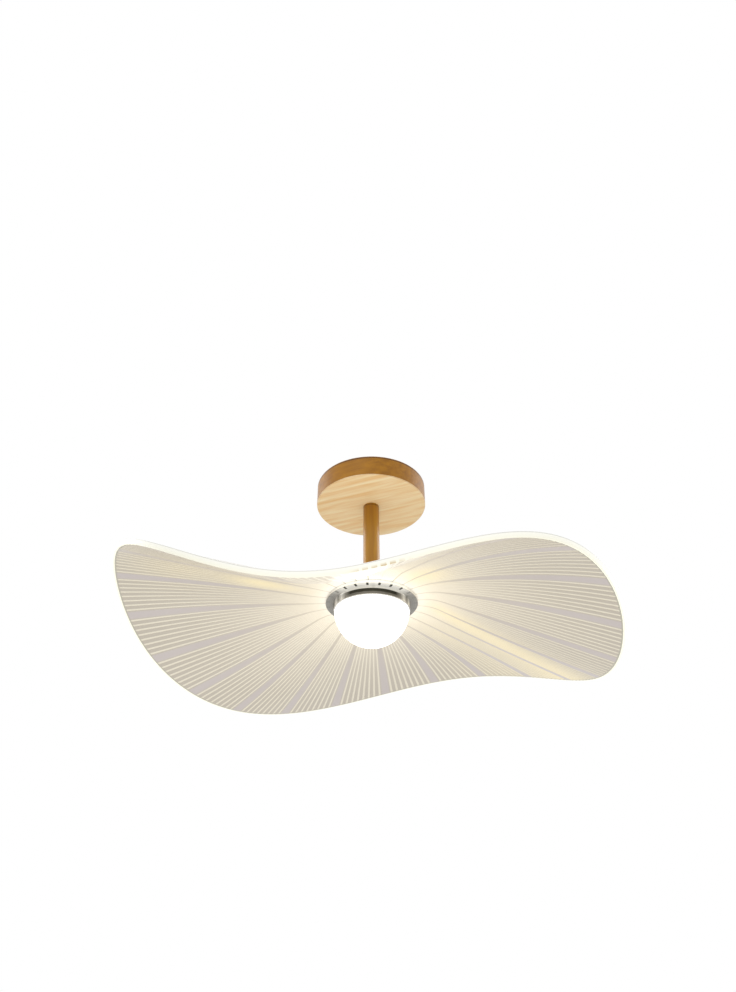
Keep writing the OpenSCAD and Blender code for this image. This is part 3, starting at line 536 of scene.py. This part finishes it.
# %% Slots, ticks and glow
# Directions and half widths are in degrees, radii and heights in millimetres. OPEN is a limit
# below every angle from a copy, so only the other limit counts.
WINDOW_MIDDLE, TICK_MIDDLE, NEAR_MIDDLE = -87.5, -80.3, -88
OPEN, WINDOW_HALF, GLINT_ARC, TICK_HALF, NEAR_HALF = -90, 40, (48, 56), 1.5, 50
RIM_RADII, COLLAR_RADII, TICK_RADII = (46, 60), (38, 42), (42.6, 46.8)
SLOT_HEIGHTS, LIP_HEIGHT, GLOW_HEIGHTS = (-150.4, -147.0), -146.8, (-146.9, -140)
# GREY_ZONE is the grey of the painted slots, and the next value is how strong the painted ticks
# stay off the near arc.
GREY_ZONE, FAINT_TICK = 0.55, 0.2

rim_cut = all_of(upright, between(radius_mm, *RIM_RADII, 0.1))
collar = all_of(upright, between(radius_mm, *COLLAR_RADII, 0.1))
from_window = from_copy(3, WINDOW_MIDDLE)
# Painted highlight at either side of each window.
glint = all_of(collar, between(from_window, *GLINT_ARC, 4))
# The windows are painted shade: a dark slot over a grey zone, under the lip.
slot = add(ring_tree, "ShaderNodeMapRange", {
    "Value": between(height_mm, *SLOT_HEIGHTS, 0.25), "To Min": GREY_ZONE}).outputs[0]
under_lip = add(ring_tree, "ShaderNodeMath", {0: height_mm, 1: LIP_HEIGHT},
                operation="LESS_THAN").outputs[0]
painted_dark_windows = all_of(collar, between(from_window, OPEN, WINDOW_HALF, 5), slot, under_lip)
# The lower limit is soft enough to leave the middle of the near arc a quarter weaker.
near_arc = between(from_copy(1, NEAR_MIDDLE), -5, NEAR_HALF, 10)
# The painted ticks are full on the near arc and faint on the rest.
tick_fade = add(ring_tree, "ShaderNodeMapRange", {
    "Value": near_arc, "To Min": FAINT_TICK}).outputs[0]
ticks = all_of(between(from_copy(24, TICK_MIDDLE), OPEN, TICK_HALF, 0.2),
               between(radius_mm, *TICK_RADII, 0.2), tick_fade)
# Dark paint of the windows and the ticks: painted shade.
black = add(ring_tree, "ShaderNodeMath", {0: painted_dark_windows, 1: ticks}, operation="MAXIMUM")
unmarked = add(ring_tree, "ShaderNodeMath", {0: 1.0, 1: ticks}, operation="SUBTRACT")
# Painted glow: emission on the near arc of the flange, which is no lamp.
glow = all_of(near_arc, between(height_mm, *GLOW_HEIGHTS, 0.2), unmarked.outputs[0])
print("nickel nodes with the masks:", len(ring_tree.nodes))


# %% Tones of the ring
SCRATCH_MM = 0.5


def painted(tree, tone, layers):
    """Lays colours over a tone one after another. Each layer is a mask and a colour: where the
    mask is 1, the colour covers what lies under it."""
    for mask, colour in layers:
        tone = add(tree, "ShaderNodeMix", {0: mask, 6: tone, 7: colour},
                   data_type="RGBA").outputs[2]
    return tone


line = add(ring_tree, "ShaderNodeMath", {0: radius_mm, 1: height_mm}, operation="ADD")
scratches = add(ring_tree, "ShaderNodeTexNoise", {
    "W": line.outputs[0], "Scale": 1 / SCRATCH_MM, "Detail": 3}, noise_dimensions="1D")
brushed = add(ring_tree, "ShaderNodeValToRGB", {0: scratches.outputs["Fac"]},
              stops=[(NOISE_LOW, "#8d8a84"), (NOISE_HIGH, "#b0ada5")])
ring_tone = painted(ring_tree, brushed.outputs[0], [
    (rim_cut, linear("#e2dfd8")), (glint, linear("#f6f4ee")),
    (black.outputs[0], linear("#3f3e36"))])
rough = add(ring_tree, "ShaderNodeMapRange", {
    "Value": scratches.outputs["Fac"], "From Min": NOISE_LOW, "From Max": NOISE_HIGH,
    "To Min": 0.4, "To Max": 0.54})
feed(ring_tree, ring_shader, Base_Color=ring_tone, Emission_Strength=glow,
     Roughness=rough.outputs[0])
print("ring:", nickel.name, "with", len(ring_tree.nodes), "nodes")

# %% [markdown]
# ## Plastics, rubber and boards
# Moulded cases are polycarbonate with the fine spark-eroded grain of their mould, and the
# terminal block is polyamide, a little yellow. Gaskets are white silicone with a soft sheen. The
# boards wear a smooth solder mask, and the lit emitters a yellow phosphor. One function does
# them all, because they differ only in two close tones, gloss and the size of their grain.


# %% Plastics
def moulded(name, early, late, roughness, grain_mm, depth_mm=0.02, **values):
    """Non-metal with two close tones and a fine grain of grain_mm in both colour and height."""
    material, tree, shader, place = new_material(name, Roughness=roughness, **values)
    noise = add(tree, "ShaderNodeTexNoise", {
        "Vector": place.outputs["Object"], "Scale": 1 / (grain_mm * MM), "Detail": 2})
    tone = add(tree, "ShaderNodeValToRGB", {0: noise.outputs["Fac"]},
               stops=[(NOISE_LOW, early), (NOISE_HIGH, late)])
    bump = add(tree, "ShaderNodeBump", {
        "Height": noise.outputs["Fac"], "Strength": 0.3, "Distance": depth_mm * MM})
    feed(tree, shader, Base_Color=tone.outputs[0], Normal=bump.outputs[0])
    return material


white_case = moulded("moulded_polycarbonate", "#eeeeea", "#f6f6f3", 0.45, 0.6, IOR=1.58)
polyamide = moulded("natural_polyamide", "#e6e0cf", "#efeadb", 0.5, 0.8, IOR=1.53)
silicone = moulded("white_silicone", "#e9e9e6", "#f3f3f0", 0.55, 1.5, IOR=1.41,
                   Sheen_Weight=0.2)
green_board = moulded("green_solder_mask", "#1f6b43", "#2b7d50", 0.35, 3, IOR=1.55)
white_board = moulded("white_solder_mask", "#f0f0ee", "#f8f8f6", 0.35, 3, IOR=1.55)
phosphor = moulded("lit_phosphor", "#f3df9c", "#f8e8b4", 0.5, 0.4, IOR=1.5,
                   Emission_Color=linear("#fff1cf"), Emission_Strength=1.5)
print("plastics:", [m.name for m in (white_case, polyamide, silicone, green_board,
                                     white_board, phosphor)])

# %% [markdown]
# ## The leads
# The leads have smooth PVC round them, coloured by what they carry. An earth lead is green with
# a yellow stripe along it, which shows as patches as the lead twists: a diagonal wave of 9 mm.

# %% Leads
LEAD_COLOURS = {
    "lead_live": ("brown_pvc", "#633b20", "#75492c"),
    "lead_neutral": ("blue_pvc", "#2a5a9e", "#376bb2"),
    "lead_plus": ("red_pvc", "#9e241d", "#b43228"),
    "lead_minus": ("black_pvc", "#191919", "#242424"),
    "strip_leads": ("grey_pvc", "#747474", "#868686")}
lead_finish = {node: moulded(name, early, late, 0.4, 1.0, IOR=1.54)
               for node, (name, early, late) in LEAD_COLOURS.items()}

earth_pvc, tree, shader, place = new_material("green_and_yellow_pvc", Roughness=0.4, IOR=1.54)
stripe = add(tree, "ShaderNodeTexWave", {
    "Vector": place.outputs["Object"], "Scale": 1 / (9 * MM)}, bands_direction="DIAGONAL")
tone = add(tree, "ShaderNodeValToRGB", {0: stripe.outputs["Fac"]},
           stops=[(0.45, "#2f7d3a"), (0.55, "#d9c832")])
feed(tree, shader, Base_Color=tone.outputs[0])
lead_finish["lead_earth"] = earth_pvc
print("leads:", sorted(lead_finish))

# %% [markdown]
# ## The shade
# The shade starts as a flat disc of clear acrylic, 506 mm across and 5 mm thick, which is warmed
# and bent. A bent sheet could be modelled as a height over each point, but a steep wave would
# then be stretched, and bending hardly stretches a sheet. So its form is given as a slope: along
# each direction from the centre the sheet rises or falls by an angle, and its height is the sum
# of that slope along the way. The slope goes round as a lean plus waves of two, three and four
# lobes, and the sheet leaves the flat land at the hub with an ease-in.

# %% Slope of the sheet
LAND_R, DISC_R, HOLE_R, HALF_T, MIDDLE_Z = 52.0, 253.0, 35.0, 2.5, -139.0
EASE_SHARE = 0.12
MEAN_SLOPE, MEAN_CURL = -12.6, 0.2
# Lobes round the hub: how many, how many degrees each adds, and the direction of a crest.
SLOPE_LOBES = [(1, 9.6, 113), (2, 3.9, 29), (3, 9, 71.5), (4, 1.6, 34)]
CURL_LOBES = [(1, 3.6, 27), (2, 2.4, 145.5), (3, 6, 69)]


def lobes(rows, direction):
    """Sum over the rows of degrees times cos(count times (direction - crest))."""
    return sum(degrees * np.cos(np.radians(count * (direction - crest)))
               for count, degrees, crest in rows)


def sheet_slope(share, direction):
    """Slope in degrees at a share of the way from land to rim: ease-in times (mean slope plus
    slope lobes, minus curl times (2 share - 1)), where curl is mean curl plus curl lobes. The
    ease-in is e squared times (3 - 2 e), and e grows from 0 to 1 over the first 0.12."""
    eased = np.clip(share / EASE_SHARE, 0, 1)
    wave = lobes(SLOPE_LOBES, direction) + MEAN_SLOPE
    curl = MEAN_CURL + lobes(CURL_LOBES, direction)
    return eased ** 2 * (3 - 2 * eased) * (wave - curl * (2 * share - 1))


print("slope halfway out, in degrees:",
      [round(float(sheet_slope(0.5, a))) for a in range(0, 360, 45)])


# %% Middle of the sheet
SLOPE_STEPS = 260
OFF_CENTRE, OFF_DIRECTION = 3.0, 203


def sheet_middle(direction, along):
    """Points of the sheet's middle. direction is in degrees and along is the way from the axis
    on a flat disc of mean size, in millimetres. Radius and height are running sums of cos and
    sin of the slope over fine steps, read off between the steps. The hub isn't quite in the
    disc's middle, so a step is a little longer towards one side."""
    reach = DISC_R + OFF_CENTRE * np.cos(np.radians(direction[:, None] - OFF_DIRECTION))
    step = (reach - LAND_R) / SLOPE_STEPS
    share = (np.arange(SLOPE_STEPS)[None, :] + 0.5) / SLOPE_STEPS
    slope = np.radians(sheet_slope(share, direction[:, None]))
    start = np.zeros((len(direction), 1))
    radius = LAND_R + step * np.hstack([start, np.cumsum(np.cos(slope), axis=1)])
    height = MIDDLE_Z + step * np.hstack([start, np.cumsum(np.sin(slope), axis=1)])
    mark = np.clip((along - LAND_R) / (DISC_R - LAND_R) * SLOPE_STEPS, 0, SLOPE_STEPS)
    low = np.minimum(mark.astype(int), SLOPE_STEPS - 1)
    part = mark - low
    r = radius[:, low] * (1 - part) + radius[:, low + 1] * part
    r = np.where(along < LAND_R, along, r)
    z = height[:, low] * (1 - part) + height[:, low + 1] * part
    turn = np.radians(direction)[:, None]
    return np.stack([r * np.cos(turn), r * np.sin(turn), z], axis=-1)


rim_points = sheet_middle(np.arange(0, 360, 45), np.array([DISC_R]))
print("rim height from the land, in mm:", (rim_points[:, 0, 2] - MIDDLE_Z).round().tolist())

# %% [markdown]
# ## The rays
# A laser cuts fine grooves from the hub to the rim: 24 sectors of eight rays, with a plain wedge
# between two sectors. A ray has the same width in degrees all the way, so it widens outwards.
# Columns of the grid are put on the edges of every ray and rows on its ends, so each groove is a
# real channel, 0.3 mm deep, in the underside. A pattern in the material alone would leave the
# mesh without the grooves' shade.

# %% Columns of the grid
SECTORS, RAYS = 24, 8
SECTOR = 360 / SECTORS
FIRST_WEDGE, WEDGE_HALF = 86.15, 0.9
FIRST_RAY, RAY_PITCH, RAY_HALF, FLANK = 1.8, 1.63, 0.27, 0.05
GROOVE_DEPTH = 0.3

ray_middle = FIRST_RAY + RAY_PITCH * np.arange(RAYS)[:, None]
ray = ray_middle + [-RAY_HALF - FLANK, -RAY_HALF, RAY_HALF, RAY_HALF + FLANK]
in_sector = np.concatenate([[-WEDGE_HALF, 0, WEDGE_HALF], ray.ravel()])
is_ray = np.tile(np.concatenate([[0, 0, 0], np.tile([0, 1, 1, 0], RAYS)]), SECTORS)
is_wedge = np.tile(np.concatenate([[1, 1, 1], np.zeros(4 * RAYS)]), SECTORS)
beside_middle = np.tile(np.abs(in_sector) > 0.5, SECTORS)[:, None]
wedge_middle = FIRST_WEDGE + SECTOR * np.arange(SECTORS)
direction = (wedge_middle[:, None] + in_sector).ravel()
print("columns:", len(direction), "rays:", SECTORS * RAYS)

# %% [markdown]
# The rows go out along the underside, up the rounded edge and back in along the top. They lie
# close where a groove begins and ends and where the edge turns, and wide elsewhere.

# %% Rows of the grid
GROOVE_IN, GROOVE_OUT = [47.4, 48.2], [250.8, 251.8]
LINE_IN, LAST_FLAT = 249.6, 252.6

under = np.concatenate([[HOLE_R, 44, 46.6, *GROOVE_IN, 49, 50.5, LAND_R],
                        np.linspace(56, 248, 49), [LINE_IN, *GROOVE_OUT, LAST_FLAT]])
edge_along = np.array([252.88, DISC_R, DISC_R, DISC_R, DISC_R, DISC_R, 252.88])
edge_height = np.array([-2.38, -2.1, -1.5, 0, 1.5, 2.1, 2.38])
top = np.concatenate([[LAST_FLAT, 251.4, 250], np.linspace(244, 60, 24),
                      [LAND_R, 48, HOLE_R]])
along = np.concatenate([under, edge_along, top])
height = np.concatenate([np.full(len(under), -HALF_T), edge_height,
                         np.full(len(top), HALF_T)])
is_under = np.arange(len(along)) < len(under)
is_top = np.arange(len(along)) >= len(under) + len(edge_along)
cut = np.interp(along, [*GROOVE_IN, *GROOVE_OUT], [0, 1, 1, 0])
print("rows:", len(along), "of them under:", int(is_under.sum()), "on top:", int(is_top.sum()))

# %% [markdown]
# Each skin is the middle of the sheet moved by half the thickness along the sheet's own upward
# direction, which is the cross product of the way out and the way round. A groove's floor is
# moved a little less.

# %% Points of the skins
middle = sheet_middle(direction, along)
further, nearer = np.minimum(along + 0.5, DISC_R), along - 0.5
outward = sheet_middle(direction, further) - sheet_middle(direction, nearer)
sideways = np.roll(middle, -1, axis=0) - np.roll(middle, 1, axis=0)
upward = np.cross(outward, sideways)
upward /= np.linalg.norm(upward, axis=-1, keepdims=True)
groove = GROOVE_DEPTH * is_ray[:, None] * (cut * is_under)[None, :]
skin = middle + upward * (height[None, :] + groove)[..., None]
shade_points = skin.transpose(1, 0, 2).reshape(-1, 3) * MM
shade_faces = grid_faces(len(along), len(direction), rows_closed=True)
print("skin points:", len(shade_points), "faces:", len(shade_faces))

# %% [markdown]
# ## What the light does in the sheet
# The finish needs to know where on the sheet it is, so the same arrays keep nine numbers at each
# point. ray, wedge, rim and margin say how far it is on a ray, on a plain wedge, on the dark
# line near the rim or outside that line. glow falls off from the hub, halo is painted light
# round the ring, and streak is where warm light runs out along the sheet. across_edge is the
# way up the edge, and wood_behind is where the brown cap is painted on the edge as if seen
# through it.

# %% Rays, wedges and lines
GLOW_MM, HALO_R, HALO_MM = 62, 47, 6


def bell(value, centre, spread):
    """1 at the centre, falling off as exp(-(distance / spread) squared)."""
    return np.exp(-((value - centre) / spread) ** 2)


share = np.clip((along - LAND_R) / (DISC_R - LAND_R), 0, 1)[None, :]
angle = (direction % 360)[:, None]
# A wedge starts as a line at the hub and widens. Two of them fade: wedge 13 near the hub, and
# wedge 8 on its outer half.
wedge = is_wedge[:, None] * (1 - beside_middle * (1 - np.clip(share / 0.35, 0, 1)))
wedge = wedge * (1 - 0.8 * bell(angle, wedge_middle[13], 4) * bell(share, 0, 0.3))
fade_out = np.clip((share - 0.3) / 0.2, 0, 1)
wedge = wedge * (1 - 0.55 * bell(angle, wedge_middle[8], 4) * fade_out)
rim = np.interp(along, [LINE_IN, *GROOVE_OUT], [0, 1, 0])[None, :] + 0 * angle
margin = np.interp(along, GROOVE_OUT, [0, 1])[None, :] + 0 * angle
print("dark line from", LINE_IN, "to", GROOVE_OUT[1], "mm, margin outside it")

# %% [markdown]
# Light doesn't spread evenly in a bent sheet. The glow is fuller on one side of the hub, and
# the streaks lie where a wave turns the light out. One streak curves as it goes
# outwards, one fans out, and three are patches, each with a direction and a place on the way.

# %% Glow and streaks
NEAR = 262
PATCHES = [(0.18, 200, 9, 0.7, 0.22), (0.5, 199, 6, 0.3, 0.17), (0.45, 312, 13, 0.12, 0.13)]

from_hub = np.exp(-np.clip(along - LAND_R, 0, None) / GLOW_MM)[None, :]
glow = np.clip(from_hub * (1 - 0.12 * bell(angle, 175, 45)) + 0.34 * bell(angle, NEAR, 28), 0, 1)
# halo is painted light round the ring, fuller on the near side.
halo = np.exp(-np.clip(along - HALO_R, 0, None) / HALO_MM)[None, :]
halo = halo * (0.5 + 0.5 * bell(angle, NEAR, 50))
signed = (angle + 180) % 360 - 180
streak = 0.4 * bell(signed, 4 + 22 * np.sqrt(share), 10) * np.clip(share / 0.12, 0, 1)
streak = streak + 0.2 * bell(signed, 42, 16) * np.clip(share / 0.3, 0, 1)
for strength, towards, width, way_out, length in PATCHES:
    streak = streak + strength * bell(angle, towards, width) * bell(share, way_out, length)
print("strongest streak:", round(float(streak.max()), 2))

# %% [markdown]
# The brown cap behind the sheet is painted as two small marks on the lower corner of the near
# edge, between the rays, as if seen through the acrylic. From the top, rays and wedges are
# weaker, because the grooves are on the other side.

# %% Fields and zones
THROUGH_TOP, EDGE_CORNER = 0.75, -2.1

# Painted marks of the cap, as if seen through the edge.
seen_through = 0.9 * bell(angle, 272.6, 2.4) + 0.5 * bell(angle, 268.3, 2)
shade_fields = {
    "ray": is_ray[:, None] * np.where(is_under, cut, THROUGH_TOP * cut)[None, :],
    "wedge": wedge * is_under + THROUGH_TOP * wedge * ~is_under,
    "glow": glow, "streak": streak, "rim": rim, "margin": margin, "halo": halo,
    "across_edge": height[None, :] / HALF_T + 0 * angle,
    "wood_behind": (1 - is_ray[:, None]) * seen_through
    * bell(height[None, :], EDGE_CORNER, 0.8)}
shade_fields = {name: values.T for name, values in shade_fields.items()}
row_zone = np.where(is_under | is_top, 0, 1)
row_zone[[len(under) - 1, -1]] = 1
shade_zones = np.repeat(row_zone, len(direction))
print("fields:", sorted(shade_fields), "edge faces:", int(shade_zones.sum()))

# %% [markdown]
# ## The acrylic
# Polished acrylic has an index of 1.49. In daylight the lit sheet reads as a grey-beige plate
# with cream rays on it, brighter and warmer towards the hub where the light goes in. A sheet of
# glass with lamps inside it would take minutes to render and stay noisy. So half of the tone is
# light that leaves the sheet, and half is light that it sends back, and it keeps its look under
# other lamps. The rim is where most of the light comes out: a warm white band.

# %% Engraved acrylic
LIT_SHARE = 0.5
# Tones far from the hub and near it.
TONES = {"gap": ("#a49c8f", "#eee3cd"), "ray": ("#c6bfad", "#f6eedb"),
         "wedge": ("#aca4a1", "#c0b59b")}


def lit_acrylic(tint, tree, shader, place):
    """Gives the shader a tone that is part emission and part base colour. A slow variation of
    60 mm keeps the sheet from looking flat."""
    cloud = add(tree, "ShaderNodeTexNoise", {
        "Vector": place.outputs["Object"], "Scale": 1 / (60 * MM), "Detail": 2})
    swing = add(tree, "ShaderNodeMapRange", {
        "Value": cloud.outputs["Fac"], "To Min": 0.97, "To Max": 1.03})
    toned = add(tree, "ShaderNodeVectorMath", {0: tint, "Scale": swing.outputs[0]},
                operation="SCALE")
    base = add(tree, "ShaderNodeVectorMath", {0: toned.outputs[0], "Scale": 1 - LIT_SHARE},
               operation="SCALE")
    feed(tree, shader, Emission_Color=toned.outputs[0], Base_Color=base.outputs[0])
    shader.inputs["Emission Strength"].default_value = LIT_SHARE


acrylic, tree, shader, place = new_material("engraved_acrylic", Roughness=0.32, IOR=1.49,
                                            Specular_IOR_Level=0.35)
field = {name: add(tree, "ShaderNodeAttribute", attribute_name=name).outputs["Fac"]
         for name in ("ray", "wedge", "glow", "streak", "halo", "rim", "margin")}
lit = {name: add(tree, "ShaderNodeMix", {
    0: field["glow"], 6: linear(far), 7: linear(near)}, data_type="RGBA").outputs[2]
    for name, (far, near) in TONES.items()}
sheet_tone = painted(tree, lit["gap"], [
    (field["ray"], lit["ray"]), (field["streak"], linear("#f7e5b0")),
    (field["halo"], linear("#fffdf4")), (field["wedge"], lit["wedge"]),
    (field["margin"], linear("#f3f0dc")), (field["rim"], linear("#9c998b"))])
lit_acrylic(sheet_tone, tree, shader, place)
print("sheet:", acrylic.name, "with", len(tree.nodes), "nodes")

# %% [markdown]
# The edge is flame polished. Its tone runs up the edge in bands: pale over most of it, with a
# darker line just under the upper corner, where the skin of the top turns down.

# %% Polished edge and the shade itself
polished_edge, tree, shader, place = new_material(
    "polished_acrylic_edge", Roughness=0.3, IOR=1.49, Specular_IOR_Level=0.15)
way_up = add(tree, "ShaderNodeAttribute", attribute_name="across_edge")
band = add(tree, "ShaderNodeMapRange", {
    "Value": way_up.outputs["Fac"], "From Min": -1, "From Max": 1})
tone = add(tree, "ShaderNodeValToRGB", {0: band.outputs[0]},
           stops=[(0.0, "#e0dccb"), (0.1, "#eceada"), (0.78, "#eeede4"),
                  (0.9, "#cccbc3"), (1.0, "#dcdbd4")])
# The cap as if seen through the edge: painted marks in a tan colour.
behind = add(tree, "ShaderNodeAttribute", attribute_name="wood_behind")
edge_tone = add(tree, "ShaderNodeMix", {
    0: behind.outputs["Fac"], 6: tone.outputs[0], 7: linear("#b99c68")}, data_type="RGBA")
lit_acrylic(edge_tone.outputs[2], tree, shader, place)

shade = make_piece("shade_sheet", shade_points, shade_faces, [acrylic, polished_edge],
                   "light", fields=shade_fields, zones=shade_zones, sharp=50)
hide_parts("shade")

# %% [markdown]
# ## The dome
# The dome is blown in opal acrylic: a thin shell, a little less than half a ball, with a rounded
# shoulder and a straight neck. A ball cut in half would lack the wall, so its profile goes down
# the inside, back up the outside and round the neck, and is turned about the axis.

# %% Shell of the dome
DOME_R, DOME_WALL, SHOULDER_Z, NECK_R, NECK_TOP = 38.0, 2.2, -153.3, 36.0, -148.3
SHOULDER_ROUND, BALL_Z, DOME_COLUMNS = 0.6, SHOULDER_Z + 1.8, 128

inner_r = DOME_R - DOME_WALL
neck_in = NECK_R - DOME_WALL
inner_start = math.degrees(math.asin((BALL_Z - SHOULDER_Z + DOME_WALL) / inner_r))
outer_end = math.degrees(math.asin((BALL_Z - SHOULDER_Z + SHOULDER_ROUND) / DOME_R))
dome_profile = np.vstack([
    [[neck_in, NECK_TOP], [neck_in, SHOULDER_Z - 1.6]],
    round_corner((0, BALL_Z), inner_r, -inner_start - 0.4, -90, 40),
    round_corner((0, BALL_Z), DOME_R, -90, -outer_end, 44)[:-1],
    round_corner((DOME_R - 0.7, SHOULDER_Z - SHOULDER_ROUND), SHOULDER_ROUND, 0, 90, 4),
    [[NECK_R, SHOULDER_Z], [NECK_R, NECK_TOP + 0.3], [NECK_R - 0.3, NECK_TOP]]])
shell_points = lathe(dome_profile, DOME_COLUMNS)
shell_faces = grid_faces(len(dome_profile), DOME_COLUMNS, rows_closed=True)
print("dome profile:", len(dome_profile), "points, lowest at", BALL_Z - DOME_R, "mm")

# %% [markdown]
# Three lugs on the neck go round in the ring's channels and hold the dome. They are curved
# blocks in the dome's own piece, so they turn with it.

# %% Lugs
LUG_IN, LUG_OUT, LUG_LOW, LUG_HIGH, LUG_ARC = 34.9, 37.3, -151.0, -149.0, 14


def lug_block(turn):
    """A bayonet lug: its four corners in section, carried along an arc. The two ends are closed
    with rows that shrink to the block's middle."""
    section = np.array([[LUG_IN, LUG_LOW], [LUG_OUT, LUG_LOW],
                        [LUG_OUT, LUG_HIGH], [LUG_IN, LUG_HIGH]])
    middle = section.mean(axis=0)
    arc = np.concatenate([[0, 0], np.linspace(0, LUG_ARC, 9), [LUG_ARC, LUG_ARC]])
    shrink = np.concatenate([[0], np.ones(11), [0]])[:, None, None]
    rows = middle + (section - middle) * shrink
    a = np.radians(arc + turn)[:, None]
    radius, level = rows[..., 0], rows[..., 1] + 0 * a
    return np.stack([radius * np.cos(a), radius * np.sin(a), level], axis=-1)


dome_points, dome_faces = [shell_points], [shell_faces]
for turn in (0, 120, 240):
    rows = lug_block(turn)
    offset = sum(len(block) for block in dome_points)
    dome_points.append(rows.reshape(-1, 3) * MM)
    dome_faces.append(grid_faces(rows.shape[0], 4)[:, ::-1] + offset)
print("lugs:", len(dome_points) - 1, "each over", LUG_ARC, "degrees")

# %% [markdown]
# Opal acrylic is glossy outside and full of fine white pigment inside. It spreads the light of
# the board above it so evenly that it looks like a plain white ball, a touch warmer at the neck.
# An even glow gives that without the noise of light scattered through a real shell.

# %% Opal finish and the dome itself
opal, tree, shader, place = new_material("opal_acrylic", Roughness=0.18, IOR=1.49,
                                         Emission_Strength=2.5)
part_height = add(tree, "ShaderNodeSeparateXYZ", {0: place.outputs["Object"]})
fade = add(tree, "ShaderNodeMapRange", {
    "Value": part_height.outputs["Z"], "From Min": (BALL_Z - DOME_R) * MM,
    "From Max": NECK_TOP * MM})
tone = add(tree, "ShaderNodeValToRGB", {0: fade.outputs[0]},
           stops=[(0.0, "#fefefe"), (0.85, "#fdfdfc"), (1.0, "#f2f0ea")])
cloud = add(tree, "ShaderNodeTexNoise", {
    "Vector": place.outputs["Object"], "Scale": 1 / (25 * MM)})
body_tone = add(tree, "ShaderNodeValToRGB", {0: cloud.outputs["Fac"]},
                stops=[(NOISE_LOW, "#c8c8c6"), (NOISE_HIGH, "#cfcfce")])
feed(tree, shader, Emission_Color=tone.outputs[0], Base_Color=body_tone.outputs[0])

dome = make_piece("dome_shell", np.vstack(dome_points), np.vstack(dome_faces), [opal],
                  "dome", sharp=30)
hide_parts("dome")

# %% [markdown]
# ## Finishes of the parts in the frame
# The other parts have their real shape already. Each one gets the finish of its own material.

# %% Finishes
finish_of = {
    "canopy": ash, "hub_cap": ash, "stem": amber_ash,
    "ceiling_bracket": zinc, "spreader_washer": zinc, "lock_washers": zinc, "tube_nuts": zinc,
    "threaded_tube": zinc, "canopy_screws": screw_zinc, "floor_screws": screw_zinc,
    "ring_screws": screw_zinc, "board_screws": screw_zinc, "earth_terminal": brass,
    "terminal_clamps": brass, "terminal_block": polyamide, "driver_case": white_case,
    "driver_lid": white_case, "driver_board": green_board, "drum": aluminium,
    "light_strip": phosphor, "dome_emitters": phosphor, "dome_board": white_board,
    "upper_gasket": silicone, "lower_gasket": silicone, "clamp_ring": nickel, **lead_finish}
for name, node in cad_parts.items():
    if name in finish_of:
        if not node.material_slots:
            node.data.materials.append(None)
        for holder in node.material_slots:
            holder.material = finish_of[name]
print("finished:", len(finish_of), "left:", sorted(set(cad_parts) - set(finish_of)))
